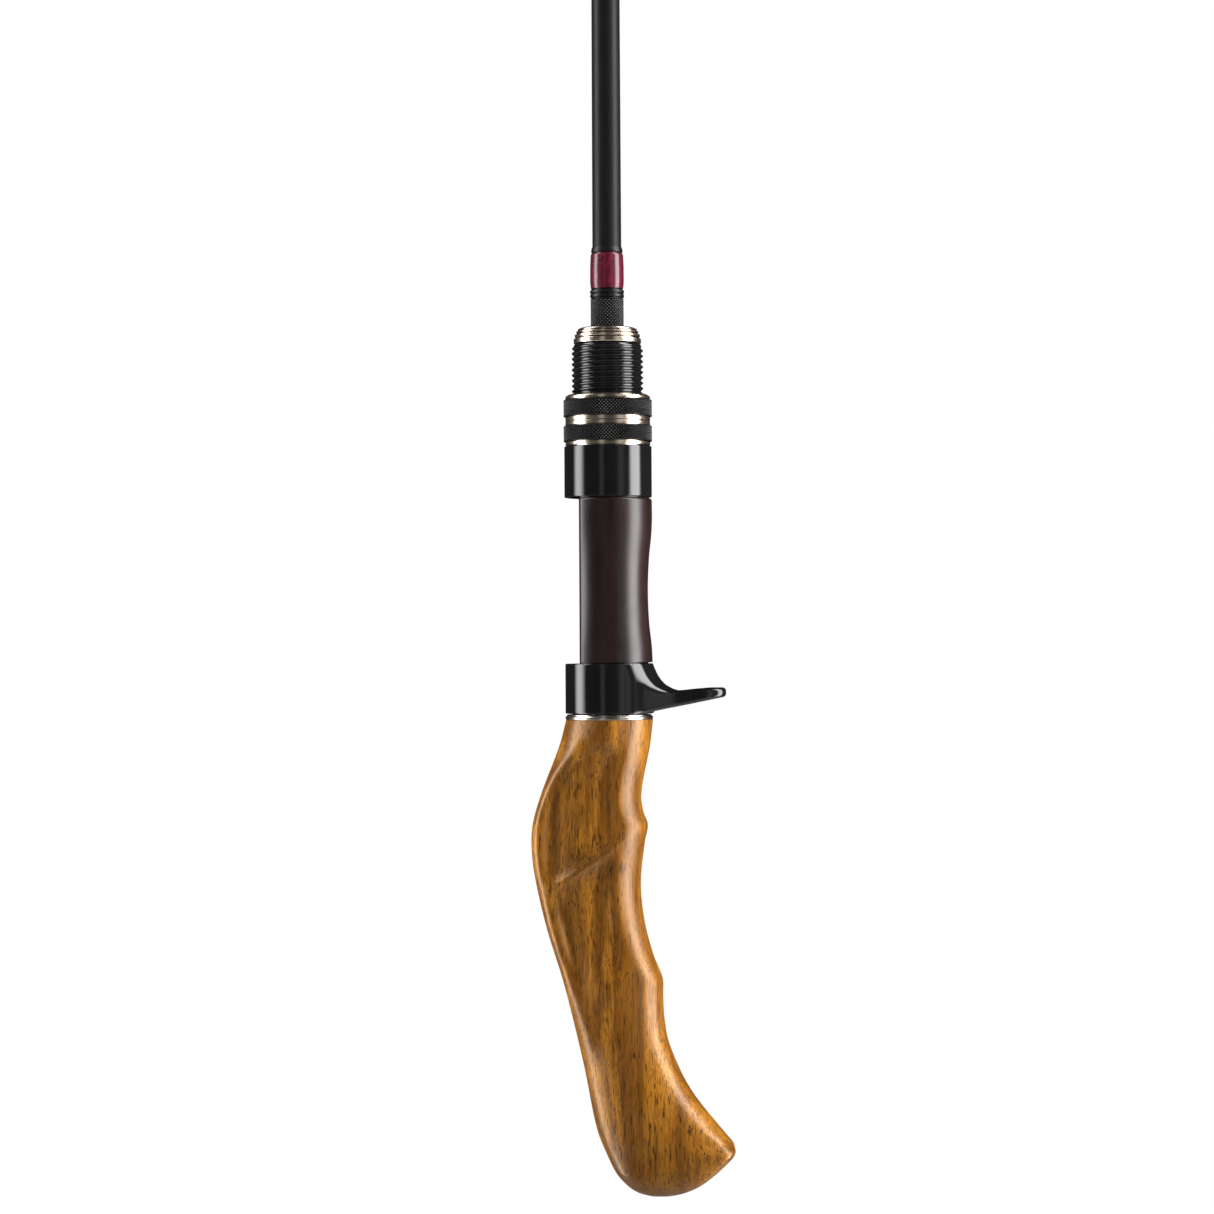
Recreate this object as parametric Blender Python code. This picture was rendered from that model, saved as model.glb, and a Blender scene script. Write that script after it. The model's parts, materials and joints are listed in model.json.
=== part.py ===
"""Four-piece casting rod with a carved pistol grip, a trigger reel seat and line guides.

The origin is on the blank's axis, at the plane where the wooden grip meets the seat.
+Z runs along the blank to the tip, +X towards the trigger, so the reel sits on the -X side.
Lengths below are in millimetres; skin() turns them into metres.
"""

import math

import bmesh
import bpy

MM = 0.001
GAP = 0.3                      # clearance between pieces that touch
FIT = 0.1                      # running clearance of a ferrule

ROUND = 32                     # sides of the handle's round pieces
THIN = 16                      # sides of the blanks, windings and rings

# Rod
SECTION_LENGTH = 480.0
FERRULE_OVERLAP = 39.0
BUTT_PLANE = -135.9            # lowest point of the grip
SECTION_STEP = SECTION_LENGTH - FERRULE_OVERLAP
# outer radius at the lower end of each section, and at its upper end
SECTION_RADII = [(4.41, 3.86), (3.04, 2.72), (2.02, 1.62), (1.02, 0.70)]
BLANK_WALL = 0.70
BLANK_FOOT = -85.0             # the butt section ends inside the grip

# Reel seat, from the grip upwards
HOOD_RADIUS = 12.45
HOOD_WALL = 0.9
BED = 8.3                      # flat for the reel's foot, distance from the axis
FIXED_HOOD = (2.2, 16.4)
FIXED_HOOD_FLOOR = 4.8
BODY = (16.7, 63.4)
NECK_RADIUS = 11.2
NECK_TOP = 74.0
MOVING_HOOD = (63.7, 78.2)
HOOD_FLANGE = 75.5
NUT = (78.5, 92.9)
NUT_RADIUS = 12.08
KNURL_RADIUS = 12.64
KNURL_BANDS = {"nut_knurl_lower": (79.6, 84.0), "nut_knurl_upper": (86.7, 91.4)}
THREAD_RADIUS = 10.2
THREAD_TOP = 107.3
CORE_RADIUS = 6.6
END_CAP = (107.6, 112.0)
COLLAR = (112.3, 120.4)
BEADS = {"bead_ring_lower": 120.7, "bead_ring_upper": 121.9}
WINDING = (123.2, 133.3)
TAPER_TOP = 135.0

# Line guides: height on the rod, ring's outer and inner diameter, ring's distance from the axis,
# and the number of feet
GUIDES = [
    (492.0, 10.0, 7.2, 13.5, 2),
    (718.0, 8.0, 6.0, 10.5, 2),
    (932.0, 6.0, 4.4, 8.0, 1),
    (1128.0, 5.5, 4.0, 7.2, 1),
    (1300.0, 5.0, 3.6, 6.2, 1),
    (1440.0, 5.0, 3.6, 5.8, 1),
    (1560.0, 4.6, 3.2, 5.4, 1),
]
FOOT_LENGTH = 13.0
FOOT_WIDTH = 1.6               # on the butt side; a thin blank takes a narrower foot
FOOT_THICKNESS = 0.6
HOOP_WALL = 0.45
RING_LENGTH = 1.6
TIP_RING = (4.6, 3.2)

# Finishes: colour, roughness, metallic
FINISHES = {
    "lacquered_wood": ((0.43, 0.21, 0.07), 0.28, 0.0),
    "gloss_black": ((0.012, 0.012, 0.014), 0.12, 0.0),
    "seat_brown": ((0.035, 0.024, 0.022), 0.34, 0.0),
    "knurled_black": ((0.02, 0.02, 0.021), 0.5, 0.2),
    "champagne_metal": ((0.80, 0.66, 0.54), 0.16, 1.0),
    "polished_metal": ((0.78, 0.76, 0.72), 0.12, 1.0),
    "red_winding": ((0.30, 0.012, 0.05), 0.1, 0.0),
    "black_winding": ((0.02, 0.018, 0.02), 0.15, 0.0),
    "blank_graphite": ((0.03, 0.03, 0.032), 0.38, 0.1),
    "guide_frame": ((0.30, 0.30, 0.32), 0.22, 1.0),
    "ceramic_ring": ((0.05, 0.05, 0.055), 0.08, 0.0),
    "arbor_foam": ((0.55, 0.50, 0.40), 0.8, 0.0),
}


def clear_scene():
    for item in list(bpy.data.objects):
        bpy.data.objects.remove(item, do_unlink=True)


def make_finishes():
    made = {}
    for name, (colour, roughness, metallic) in FINISHES.items():
        finish = bpy.data.materials.new(name)
        finish.use_nodes = True
        shader = finish.node_tree.nodes["Principled BSDF"]
        shader.inputs["Base Color"].default_value = (*colour, 1.0)
        shader.inputs["Roughness"].default_value = roughness
        shader.inputs["Metallic"].default_value = metallic
        made[name] = finish
    return made


def skin(name, rings, finish, wrap=False, sharp_deg=35.0):
    """One closed solid through rings of equal point counts, given in millimetres.

    Its ends are capped, or the last ring joins the first one where wrap is set.
    """
    bm = bmesh.new()
    rows = [[bm.verts.new([c * MM for c in point]) for point in ring] for ring in rings]
    count = len(rows[0])
    pairs = list(zip(rows, rows[1:]))
    if wrap:
        pairs.append((rows[-1], rows[0]))
    for low, high in pairs:
        for i in range(count):
            j = (i + 1) % count
            bm.faces.new((low[i], low[j], high[j], high[i]))
    if not wrap:
        bm.faces.new(rows[0])
        bm.faces.new(rows[-1])
    bmesh.ops.recalc_face_normals(bm, faces=bm.faces)
    mesh = bpy.data.meshes.new(name)
    bm.to_mesh(mesh)
    bm.free()
    mesh.shade_smooth()
    mesh.set_sharp_from_angle(angle=math.radians(sharp_deg))
    mesh.materials.append(finish)
    solid = bpy.data.objects.new(name, mesh)
    bpy.context.scene.collection.objects.link(solid)
    return solid


def circle(radius, z, sides, centre_x=0.0):
    step = math.tau / sides
    return [(centre_x + radius * math.cos(i * step), radius * math.sin(i * step), z)
            for i in range(sides)]


def turned(name, profile, finish, sides=ROUND, wrap=True, centre_x=0.0):
    """A turned piece from (radius, z) points; wrap makes it a ring around its bore."""
    rings = [circle(radius, z, sides, centre_x) for radius, z in profile]
    return skin(name, rings, finish, wrap=wrap)


def tube(name, low, high, outer, inner, finish, sides=ROUND, bevel=0.0):
    """A plain ring or tube; outer is one radius, or the two at its lower and upper ends."""
    lower, upper = outer if isinstance(outer, tuple) else (outer, outer)
    profile = [(inner, low), (lower - bevel, low)]
    if bevel:
        profile += [(lower, low + bevel), (upper, high - bevel)]
    else:
        profile += [(upper, high)]
    if bevel:
        profile += [(upper - bevel, high)]
    profile += [(inner, high)]
    return turned(name, profile, finish, sides)


def as_guide(tool):
    tool.hide_render = True
    tool.display_type = "WIRE"
    return tool


def combine(solid, tool, operation):
    as_guide(tool)
    modifier = solid.modifiers.new(operation.lower(), "BOOLEAN")
    modifier.operation = operation
    modifier.solver = "EXACT"
    modifier.object = tool


def through(points):
    """A smooth function of the first coordinate through the given (t, value) points."""
    knots = sorted(points)
    slopes = []
    for i in range(len(knots)):
        before = knots[max(i - 1, 0)]
        after = knots[min(i + 1, len(knots) - 1)]
        slopes.append((after[1] - before[1]) / (after[0] - before[0]))

    def value(t):
        k = 0
        while k < len(knots) - 2 and t > knots[k + 1][0]:
            k += 1
        (t0, v0), (t1, v1) = knots[k], knots[k + 1]
        span = t1 - t0
        u = min(max((t - t0) / span, 0.0), 1.0)
        start = v0 * (1 + 2 * u) * (1 - u) ** 2 + slopes[k] * span * u * (1 - u) ** 2
        end = v1 * u * u * (3 - 2 * u) - slopes[k + 1] * span * u * u * (1 - u)
        return start + end

    return value


def between(low, high, count):
    return [low + (high - low) * i / (count - 1) for i in range(count)]


def blank_radius(section, z):
    """Outer radius of a section at height z."""
    lower, upper = SECTION_RADII[section]
    low = section_low(section)
    high = section_high(section)
    return lower + (upper - lower) * (z - low) / (high - low)


def section_low(section):
    if section == 0:
        return BLANK_FOOT
    return BUTT_PLANE + SECTION_STEP * section


def section_high(section):
    return BUTT_PLANE + SECTION_STEP * section + SECTION_LENGTH


# --- grip ---------------------------------------------------------------------------------

# side outlines: (z, x) of the palm side and of the finger side, and (z, half width) across
PALM_SIDE = [(0, -12.4), (-7, -14.3), (-20, -19.3), (-28, -21.7), (-34, -22.3), (-43, -21.5),
             (-58, -18.2), (-75, -13.1), (-98, -7.7), (-116, -4.1), (-125.3, -0.5),
             (-130, 2.3), (-134, 7.0), (-135.9, 12.0)]
FINGER_SIDE = [(0, 12.4), (-7, 11.5), (-20.4, 9.0), (-25.5, 9.5), (-29.5, 10.8), (-34, 10.0),
               (-45.5, 8.75), (-56, 9.6), (-66, 12.05), (-73.2, 14.8), (-77.5, 14.9),
               (-84, 15.2), (-92, 16.7), (-105, 22.8), (-118.4, 33.1), (-121.8, 35.1),
               (-125, 33.6), (-132, 26.2), (-134.6, 21.3), (-135.9, 16.4)]
GRIP_HALF_WIDTH = [(0, 12.4), (-8.5, 12.0), (-20, 11.5), (-35, 11.2), (-50, 10.7), (-70, 10.1),
                   (-90, 9.7), (-108, 9.6), (-119, 9.8), (-126, 9.7), (-131, 9.0),
                   (-134.4, 6.6), (-135.9, 3.0)]


def grip_ring(z, palm, finger, half_width):
    """One level section of the grip, a rounded box that is a circle where the seat begins."""
    left, right = palm(z), finger(z)
    centre, reach, depth = (left + right) / 2, (right - left) / 2, half_width(z)
    power = 1.0 - 0.12 * min(-z / 15.0, 1.0)
    ring = []
    for i in range(ROUND):
        angle = math.tau * i / ROUND
        c, s = math.cos(angle), math.sin(angle)
        ring.append((centre + reach * math.copysign(abs(c) ** power, c),
                     depth * math.copysign(abs(s) ** power, s), z))
    return ring


def make_grip(finish):
    palm, finger, half_width = through(PALM_SIDE), through(FINGER_SIDE), through(GRIP_HALF_WIDTH)
    levels = between(-GAP, -118.0, 26) + [-120.0, -121.8, -124.0, -126.5, -129.0, -131.5]
    levels += [-133.5, -134.8, BUTT_PLANE]
    rings = [grip_ring(z, palm, finger, half_width) for z in levels]
    grip = skin("grip_wood", rings, finish["lacquered_wood"], sharp_deg=50.0)
    foot = BLANK_FOOT - 1.0
    bore = turned("grip_bore", [(4.85, 5.0), (4.85, foot)], finish["arbor_foam"], THIN, wrap=False)
    combine(grip, bore, "DIFFERENCE")


# --- reel seat ----------------------------------------------------------------------------

SEAT_WAIST = [(BODY[0], 12.45), (21.5, 12.2), (27, 11.6), (33, 11.25), (39, 11.2), (47, 11.6),
              (52.6, 12.2), (57, 12.45), (62.2, 12.45), (BODY[1], 11.8)]


def bedded_ring(radius, z):
    """A circle whose reel side is cut flat at the bed."""
    ring = []
    for x, y, level in circle(radius, z, ROUND):
        shrink = min(1.0, BED / -x) if x < 0 else 1.0
        ring.append((x * shrink, y * shrink, level))
    return ring


def make_seat_body(finish):
    waist = through(SEAT_WAIST)
    neck_low = FIXED_HOOD_FLOOR + GAP
    levels = [(NECK_RADIUS, neck_low), (NECK_RADIUS, BODY[0])]
    levels += [(waist(z), z) for z in between(BODY[0], 62.2, 12)]
    levels += [(waist(BODY[1]), BODY[1]), (NECK_RADIUS, BODY[1]), (NECK_RADIUS, NECK_TOP)]
    outer = [bedded_ring(radius, z) for radius, z in levels]
    bore = [circle(CORE_RADIUS, NECK_TOP, ROUND), circle(CORE_RADIUS, neck_low, ROUND)]
    skin("seat_body", outer + bore, finish["seat_brown"], wrap=True)


# trigger, seen from the side: its upper and lower edge, and its half width, along x
TRIGGER_TOP = [(3, 16.2), (12.3, 16.2), (14.0, 12.7), (16.0, 10.3), (18.8, 8.6), (21.5, 8.3),
               (26, 8.75), (31.2, 9.15), (32.8, 8.8), (33.4, 8.1)]
TRIGGER_UNDER = [(3, 2.5), (12.3, 2.8), (21.5, 4.45), (31.2, 6.35), (32.8, 6.8), (33.4, 7.4)]
TRIGGER_HALF_WIDTH = [(3, 8.6), (9, 9.2), (12.3, 9.1), (14.5, 8.3), (18, 7.1), (22, 6.6),
                      (27, 6.2), (30.5, 5.3), (32.4, 3.6), (33.4, 1.2)]


def trigger_ring(x, top, under, half_width):
    """One cross-section of the trigger, an oval with a flatter top and bottom."""
    high, low, width = top(x), under(x), half_width(x)
    middle, half_height = (high + low) / 2, (high - low) / 2
    ring = []
    for i in range(THIN):
        angle = math.tau * i / THIN
        c, s = math.cos(angle), math.sin(angle)
        ring.append((x, width * math.copysign(abs(c) ** 0.8, c),
                     middle + half_height * math.copysign(abs(s) ** 0.8, s)))
    return ring


def make_trigger_hood(finish):
    low, high = FIXED_HOOD
    black = finish["gloss_black"]
    hood = turned("trigger_hood", [(HOOD_RADIUS - 0.5, low), (HOOD_RADIUS, low + 0.5),
                                   (HOOD_RADIUS, high - 0.3), (HOOD_RADIUS - 0.3, high)],
                  black, wrap=False)
    top, under, width = through(TRIGGER_TOP), through(TRIGGER_UNDER), through(TRIGGER_HALF_WIDTH)
    stations = [3, 9, 12.3, 13.1, 14, 15, 16.2, 17.6, 19.4, 22, 25, 28, 30.5, 32.1, 33, 33.4]
    rings = [trigger_ring(x, top, under, width) for x in stations]
    combine(hood, skin("trigger_blade", rings, black), "UNION")
    pocket = turned("trigger_pocket", [(HOOD_RADIUS - HOOD_WALL, FIXED_HOOD_FLOOR),
                                       (HOOD_RADIUS - HOOD_WALL, high + 5)], black, wrap=False)
    combine(hood, pocket, "DIFFERENCE")
    bore = turned("trigger_bore", [(4.8, low - 5), (4.8, high)], black, wrap=False)
    combine(hood, bore, "DIFFERENCE")


def make_seat_fittings(finish):
    gold, black = finish["champagne_metal"], finish["gloss_black"]
    turned("grip_ring", [(4.85, 0.0), (12.35, 0.0), (12.45, 0.3), (12.45, 1.3), (12.1, 1.6),
                         (12.1, 1.9), (4.85, 1.9)], finish["polished_metal"])
    arbor_low = FIXED_HOOD_FLOOR + GAP
    for name, low, high in (("seat_arbor_lower", arbor_low, 52.0),
                            ("seat_arbor_upper", 52.3, THREAD_TOP - GAP)):
        inner = blank_radius(0, low) + GAP
        tube(name, low, high, CORE_RADIUS - GAP, inner, finish["arbor_foam"], THIN)
    tube("thread_barrel", NECK_TOP + GAP, THREAD_TOP, THREAD_RADIUS, CORE_RADIUS, black, bevel=0.4)
    low, high = END_CAP
    turned("seat_end_cap", [(4.6, low), (9.6, low), (9.6, low + 0.5), (9.45, low + 2.0),
                            (8.75, low + 2.2), (8.75, low + 3.0), (8.3, low + 3.4),
                            (8.3, low + 3.8), (7.7, high), (4.6, high)], gold)
    tube("fore_collar", *COLLAR, 4.73, blank_radius(0, COLLAR[0]) + GAP / 2,
         finish["knurled_black"], bevel=0.2)
    for name, low in BEADS.items():
        tube(name, low, low + 0.9, 4.85, blank_radius(0, low) + GAP / 2, black, bevel=0.2)
    low, high = WINDING
    tube("handle_winding", low, high, (4.80, 4.55), blank_radius(0, low) + 0.2,
         finish["red_winding"])
    turned("handle_epoxy_taper", [(blank_radius(0, high) + 0.15, high + GAP), (4.5, high + GAP),
                                  (4.42, high + 0.8), (blank_radius(0, high) + 0.2, TAPER_TOP)],
           finish["black_winding"])


def make_lock_nut(finish):
    gold = finish["champagne_metal"]
    low, high = NUT
    bore = THREAD_RADIUS + GAP
    core = NUT_RADIUS - 0.8
    lip = HOOD_RADIUS - HOOD_WALL - 0.25
    profile = [(bore, HOOD_FLANGE - 1.0), (lip, HOOD_FLANGE - 1.0), (lip, HOOD_FLANGE - 0.3),
               (bore + 0.4, HOOD_FLANGE - 0.3), (bore + 0.4, low), (NUT_RADIUS, low)]
    for band_low, band_high in KNURL_BANDS.values():
        profile += [(NUT_RADIUS, band_low - GAP), (core, band_low - GAP),
                    (core, band_high + GAP), (NUT_RADIUS, band_high + GAP)]
    profile += [(NUT_RADIUS, high - 0.5), (NUT_RADIUS - 0.7, high), (bore, high)]
    turned("nut_sleeve", profile, gold)
    for name, (band_low, band_high) in KNURL_BANDS.items():
        tube(name, band_low, band_high, KNURL_RADIUS, core + GAP, finish["knurled_black"],
             bevel=0.25)


def make_moving_hood(finish):
    low, high = MOVING_HOOD
    inner = HOOD_RADIUS - HOOD_WALL
    flange = THREAD_RADIUS + GAP + 0.4 + 0.2
    turned("movable_hood", [(inner, low), (HOOD_RADIUS - 0.3, low), (HOOD_RADIUS, low + 0.3),
                            (HOOD_RADIUS, high - 0.4), (HOOD_RADIUS - 0.4, high), (flange, high),
                            (flange, HOOD_FLANGE), (inner, HOOD_FLANGE)], finish["gloss_black"])


# --- blanks -------------------------------------------------------------------------------

def make_blanks(finish):
    for section in range(4):
        low, high = section_low(section), section_high(section)
        lower, upper = SECTION_RADII[section]
        name = f"blank_{section + 1}"
        if section == 3:
            rings = [circle(lower, low, THIN), circle(upper, high - 5.0, THIN)]
            skin(name, rings, finish["blank_graphite"])
            continue
        socket = SECTION_RADII[section + 1][0] + FIT
        mouth = high - FERRULE_OVERLAP - 2.0
        middle = blank_radius(section, mouth)
        profile = [(lower - BLANK_WALL, low), (lower, low), (middle, mouth), (upper, high),
                   (socket, high), (socket, mouth)]
        turned(name, profile, finish["blank_graphite"], THIN)
        tube(f"ferrule_winding_{section + 1}", high - 22.0, high - 0.5,
             blank_radius(section, high - 22.0) + 0.55, blank_radius(section, high - 22.0) + 0.2,
             finish["red_winding"], THIN, bevel=0.12)


# --- line guides --------------------------------------------------------------------------

def guide_section(z):
    return 1 if z < section_high(1) else 2 if z < section_high(2) else 3


def wrapped_ring(radius, lift, z):
    """A circle that swells on the reel side to pass over a guide's foot."""
    ring = []
    for x, y, level in circle(radius, z, THIN):
        off_foot = math.degrees(math.atan2(abs(y), -x))
        swell = lift * min(max((67.5 - off_foot) / 45.0, 0.0), 1.0)
        ring.append((x - swell, y, level))
    return ring


def make_foot_winding(name, radius, low, high, finish):
    """A thread winding over a foot, round the blank."""
    lift = FOOT_THICKNESS + GAP
    inner = radius + GAP
    outer = inner + 0.3
    rings = [wrapped_ring(inner, lift, low), wrapped_ring(outer, lift, low),
             wrapped_ring(outer, lift, high), wrapped_ring(inner, lift, high)]
    skin(name, rings, finish, wrap=True)


def box(name, low, high, finish):
    (x0, y0, z0), (x1, y1, z1) = low, high
    rings = [[(x0, y0, z), (x1, y0, z), (x1, y1, z), (x0, y1, z)] for z in (z0, z1)]
    return skin(name, rings, finish)


def make_leg(name, foot_x, ring_x, foot_z, ring_z, width, finish):
    """A flat leg from the foot to the hoop."""
    thick = FOOT_THICKNESS
    half = width / 2
    rings = []
    for x, z in ((foot_x + 0.1, foot_z), (ring_x, ring_z)):
        rings.append([(x, -half, z - thick), (x, half, z - thick), (x, half, z + thick),
                      (x, -half, z + thick)])
    return skin(name, rings, finish)


def make_guide(number, z, ring_outer, ring_inner, reach, feet, finish):
    """A guide's frame in one piece, its ceramic ring, and a winding over each foot."""
    metal = finish["guide_frame"]
    section = guide_section(z)
    radius = blank_radius(section, z)
    near = radius + 0.25
    hoop_inner = ring_outer / 2 + 0.1
    hoop_outer = hoop_inner + HOOP_WALL
    half = RING_LENGTH / 2
    width = min(FOOT_WIDTH, 0.8 * radius)
    name = f"guide_{number}"
    frame = turned(f"{name}_frame", [(hoop_inner, z - half), (hoop_outer, z - half),
                                     (hoop_outer, z + half), (hoop_inner, z + half)],
                   metal, THIN, centre_x=-reach)
    ways = (1, -1) if feet == 2 else (1,)
    for way in ways:
        start = z + way * 2.5
        end = start + way * FOOT_LENGTH
        foot = box(f"{name}_foot_{way}", (-near - FOOT_THICKNESS, -width / 2, min(start, end)),
                   (-near, width / 2, max(start, end)), metal)
        combine(frame, foot, "UNION")
        leg = make_leg(f"{name}_leg_{way}", -near - FOOT_THICKNESS / 2,
                       -reach + hoop_inner + HOOP_WALL / 2, start + way * 0.6, z, width, metal)
        combine(frame, leg, "UNION")
        label = "upper" if way > 0 else "lower"
        winding_low, winding_high = sorted((start + way * 2.6, end + way * 3.0))
        make_foot_winding(f"{name}_winding_{label}", radius, winding_low, winding_high,
                          finish["black_winding"])
    rim = ring_outer / 2
    bore = ring_inner / 2
    middle = (rim + bore) / 2
    turned(f"{name}_ring", [(bore, z - half * 0.5), (middle, z - half * 0.95), (rim, z - half * 0.8),
                            (rim, z + half * 0.8), (middle, z + half * 0.95), (bore, z + half * 0.5)],
           finish["ceramic_ring"], THIN, centre_x=-reach)


def make_tip_top(finish):
    """The tube over the tip, its loop and the ceramic ring in it."""
    metal = finish["guide_frame"]
    top = section_high(3)
    sleeve_low, sleeve_high = top - 14.0, top - 4.6
    inner = SECTION_RADII[3][1] + 0.2
    sleeve = turned("tip_top_frame", [(inner, sleeve_low), (inner + 0.4, sleeve_low),
                                      (inner + 0.4, sleeve_high - 0.4), (inner, sleeve_high)],
                    metal, THIN)
    outer, bore = TIP_RING[0] / 2, TIP_RING[1] / 2
    hoop_inner = outer + 0.1
    hoop_outer = hoop_inner + HOOP_WALL
    reach = hoop_outer + 0.6
    z = top - RING_LENGTH / 2
    half = RING_LENGTH / 2
    hoop = turned("tip_hoop", [(hoop_inner, z - half), (hoop_outer, z - half),
                               (hoop_outer, z + half), (hoop_inner, z + half)],
                  metal, THIN, centre_x=-reach)
    combine(sleeve, hoop, "UNION")
    leg = make_leg("tip_leg", -inner - 0.3, -reach + hoop_outer - 0.3, sleeve_high - 3.2, z, 1.4, metal)
    combine(sleeve, leg, "UNION")
    middle = (outer + bore) / 2
    turned("tip_top_ring", [(bore, z - half * 0.5), (middle, z - half * 0.95),
                            (outer, z - half * 0.8), (outer, z + half * 0.8),
                            (middle, z + half * 0.95), (bore, z + half * 0.5)],
           finish["ceramic_ring"], THIN, centre_x=-reach)
    low = sleeve_low - 6.0
    tube("tip_winding", low, sleeve_low - GAP, blank_radius(3, low) + 0.55,
         blank_radius(3, low) + 0.2, finish["red_winding"], THIN)


def build_rod():
    clear_scene()
    finish = make_finishes()
    make_grip(finish)
    make_seat_body(finish)
    make_trigger_hood(finish)
    make_seat_fittings(finish)
    make_lock_nut(finish)
    make_moving_hood(finish)
    make_blanks(finish)
    for number, guide in enumerate(GUIDES, start=1):
        make_guide(number, *guide, finish)
    make_tip_top(finish)


build_rod()
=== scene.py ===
import json
import math

import bpy
import numpy as np
from mathutils import Matrix, Vector


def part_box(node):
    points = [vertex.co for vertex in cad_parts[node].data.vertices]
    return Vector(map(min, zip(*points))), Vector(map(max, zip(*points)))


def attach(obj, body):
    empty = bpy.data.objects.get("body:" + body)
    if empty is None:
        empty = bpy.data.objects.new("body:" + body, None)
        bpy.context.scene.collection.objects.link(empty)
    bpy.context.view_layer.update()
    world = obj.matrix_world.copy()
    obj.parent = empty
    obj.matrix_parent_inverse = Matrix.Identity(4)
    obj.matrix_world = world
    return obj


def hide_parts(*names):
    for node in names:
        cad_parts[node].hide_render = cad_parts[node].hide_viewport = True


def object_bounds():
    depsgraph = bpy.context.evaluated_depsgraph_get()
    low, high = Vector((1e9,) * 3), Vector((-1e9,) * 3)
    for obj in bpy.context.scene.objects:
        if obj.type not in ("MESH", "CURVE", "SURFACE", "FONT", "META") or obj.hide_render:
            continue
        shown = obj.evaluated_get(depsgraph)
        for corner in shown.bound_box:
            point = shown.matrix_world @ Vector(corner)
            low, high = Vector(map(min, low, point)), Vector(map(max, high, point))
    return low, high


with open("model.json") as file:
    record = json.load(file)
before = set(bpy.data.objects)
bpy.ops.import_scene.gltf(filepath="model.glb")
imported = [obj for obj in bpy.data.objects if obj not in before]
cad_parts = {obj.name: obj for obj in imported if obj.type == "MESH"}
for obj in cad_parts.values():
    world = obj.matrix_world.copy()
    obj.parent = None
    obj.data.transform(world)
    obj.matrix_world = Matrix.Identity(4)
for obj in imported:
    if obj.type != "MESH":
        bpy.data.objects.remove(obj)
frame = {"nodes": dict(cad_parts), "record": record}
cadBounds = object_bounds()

mm = 0.001
record = frame["record"]
bodyOf = {node: body for body, nodes in record["behaviour"]["bodies"].items() for node in nodes}


class NodeWork:
    # the nodes of one material, light, world or group, and short ways to add to them

    def __init__(self, tree):
        self.nodes, self.links = tree.nodes, tree.links

    def add(self, kind, sockets=None, **settings):
        # a shader node; its sockets are linked, set to a value or left alone when None
        node = self.nodes.new("ShaderNode" + kind)
        for name, value in settings.items():
            setattr(node, name, value)
        for key, value in (sockets or {}).items():
            if isinstance(value, bpy.types.NodeSocket):
                self.links.new(value, node.inputs[key])
            elif value is not None:
                setSocket(node.inputs[key], value)
        return node

    def math(self, operation, a, b=None, clamp=False):
        return self.add("Math", {0: a, 1: b}, operation=operation, use_clamp=clamp).outputs[0]

    def vectorMath(self, operation, a, b=None):
        return self.add("VectorMath", {0: a, 1: b}, operation=operation).outputs

    def stretched(self, vector, scale):
        return self.vectorMath("MULTIPLY", vector, scale)[0]

    def split(self, vector):
        return self.add("SeparateXYZ", {0: vector}).outputs

    def noise(self, vector, scale, detail=3.0, rough=0.55, warp=0.0):
        return self.add("TexNoise", {"Vector": vector, "Scale": scale, "Detail": detail,
                                     "Roughness": rough, "Distortion": warp}).outputs["Fac"]

    def ranged(self, value, low, high, toLow=0.0, toHigh=1.0):
        return self.add("MapRange", {"Value": value, "From Min": low, "From Max": high,
                                     "To Min": toLow, "To Max": toHigh},
                        interpolation_type="SMOOTHSTEP").outputs["Result"]

    def mixed(self, factor, a, b):
        return self.add("Mix", {0: factor, 6: a, 7: b}, data_type="RGBA").outputs[2]

    def cameraSees(self, seen, real, output):
        # the camera sees one shader and the light meets another
        path = self.add("LightPath").outputs["Is Camera Ray"]
        self.links.new(self.add("MixShader", {0: path, 1: real, 2: seen}).outputs[0], output)


def setSocket(socket, value):
    # a colour is given as three numbers
    isColour = socket.type == "RGBA" and isinstance(value, tuple)
    socket.default_value = (*value, 1.0) if isColour else value


cameraSet = {"distance": 0.86, "lens": 89.5, "height": 0.0227, "aim": 0.0325,
             "aside": -0.0005, "roll": 0.31}


def makeCamera():
    data = bpy.data.cameras.new("mainCamera")
    data.lens = cameraSet["lens"]
    data.sensor_width = 36.0
    data.clip_start = 0.01
    data.clip_end = 200.0
    camera = bpy.data.objects.new("mainCamera", data)
    bpy.context.scene.collection.objects.link(camera)
    place = Vector((cameraSet["aside"], -cameraSet["distance"], cameraSet["height"]))
    look = Vector((cameraSet["aside"], 0.0, cameraSet["aim"])) - place
    turn = look.to_track_quat("-Z", "Y").to_matrix().to_4x4()
    roll = Matrix.Rotation(math.radians(-cameraSet["roll"]), 4, "Z")
    camera.matrix_world = Matrix.Translation(place) @ turn @ roll
    bpy.context.scene.camera = camera


# tall soft boxes round the rod: azimuth from the camera's side (+ towards the trigger),
# width in degrees as the rod sees it, brightness, and how much of each side fades out
softBoxes = {
    "boxReelSide": {"azimuth": -84.0, "spread": 42.0, "radiance": 8.9, "fade": 0.85},
    "boxTriggerSide": {"azimuth": 76.0, "spread": 43.0, "radiance": 11.2, "fade": 0.6},
    "wallLeft": {"azimuth": -17.0, "spread": 20.0, "radiance": 0.44, "fade": 0.98},
    "wallRight": {"azimuth": 34.0, "spread": 28.0, "radiance": 0.50, "fade": 0.98},
}
boxShape = {"reach": 1.3, "low": -0.95, "high": 2.4}


def fadeAcross(light, fade):
    # the light's brightness falls off smoothly towards its two upright sides
    light.use_nodes = True
    work = NodeWork(light.node_tree)
    across = work.split(work.add("NewGeometry").outputs["Parametric"])[0]
    off = work.math("ABSOLUTE", work.math("SUBTRACT", across, 0.5))
    strength = work.ranged(off, 0.5 - fade / 2, 0.5, 1.0, 0.0)
    work.links.new(strength, work.nodes["Emission"].inputs["Strength"])


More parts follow.
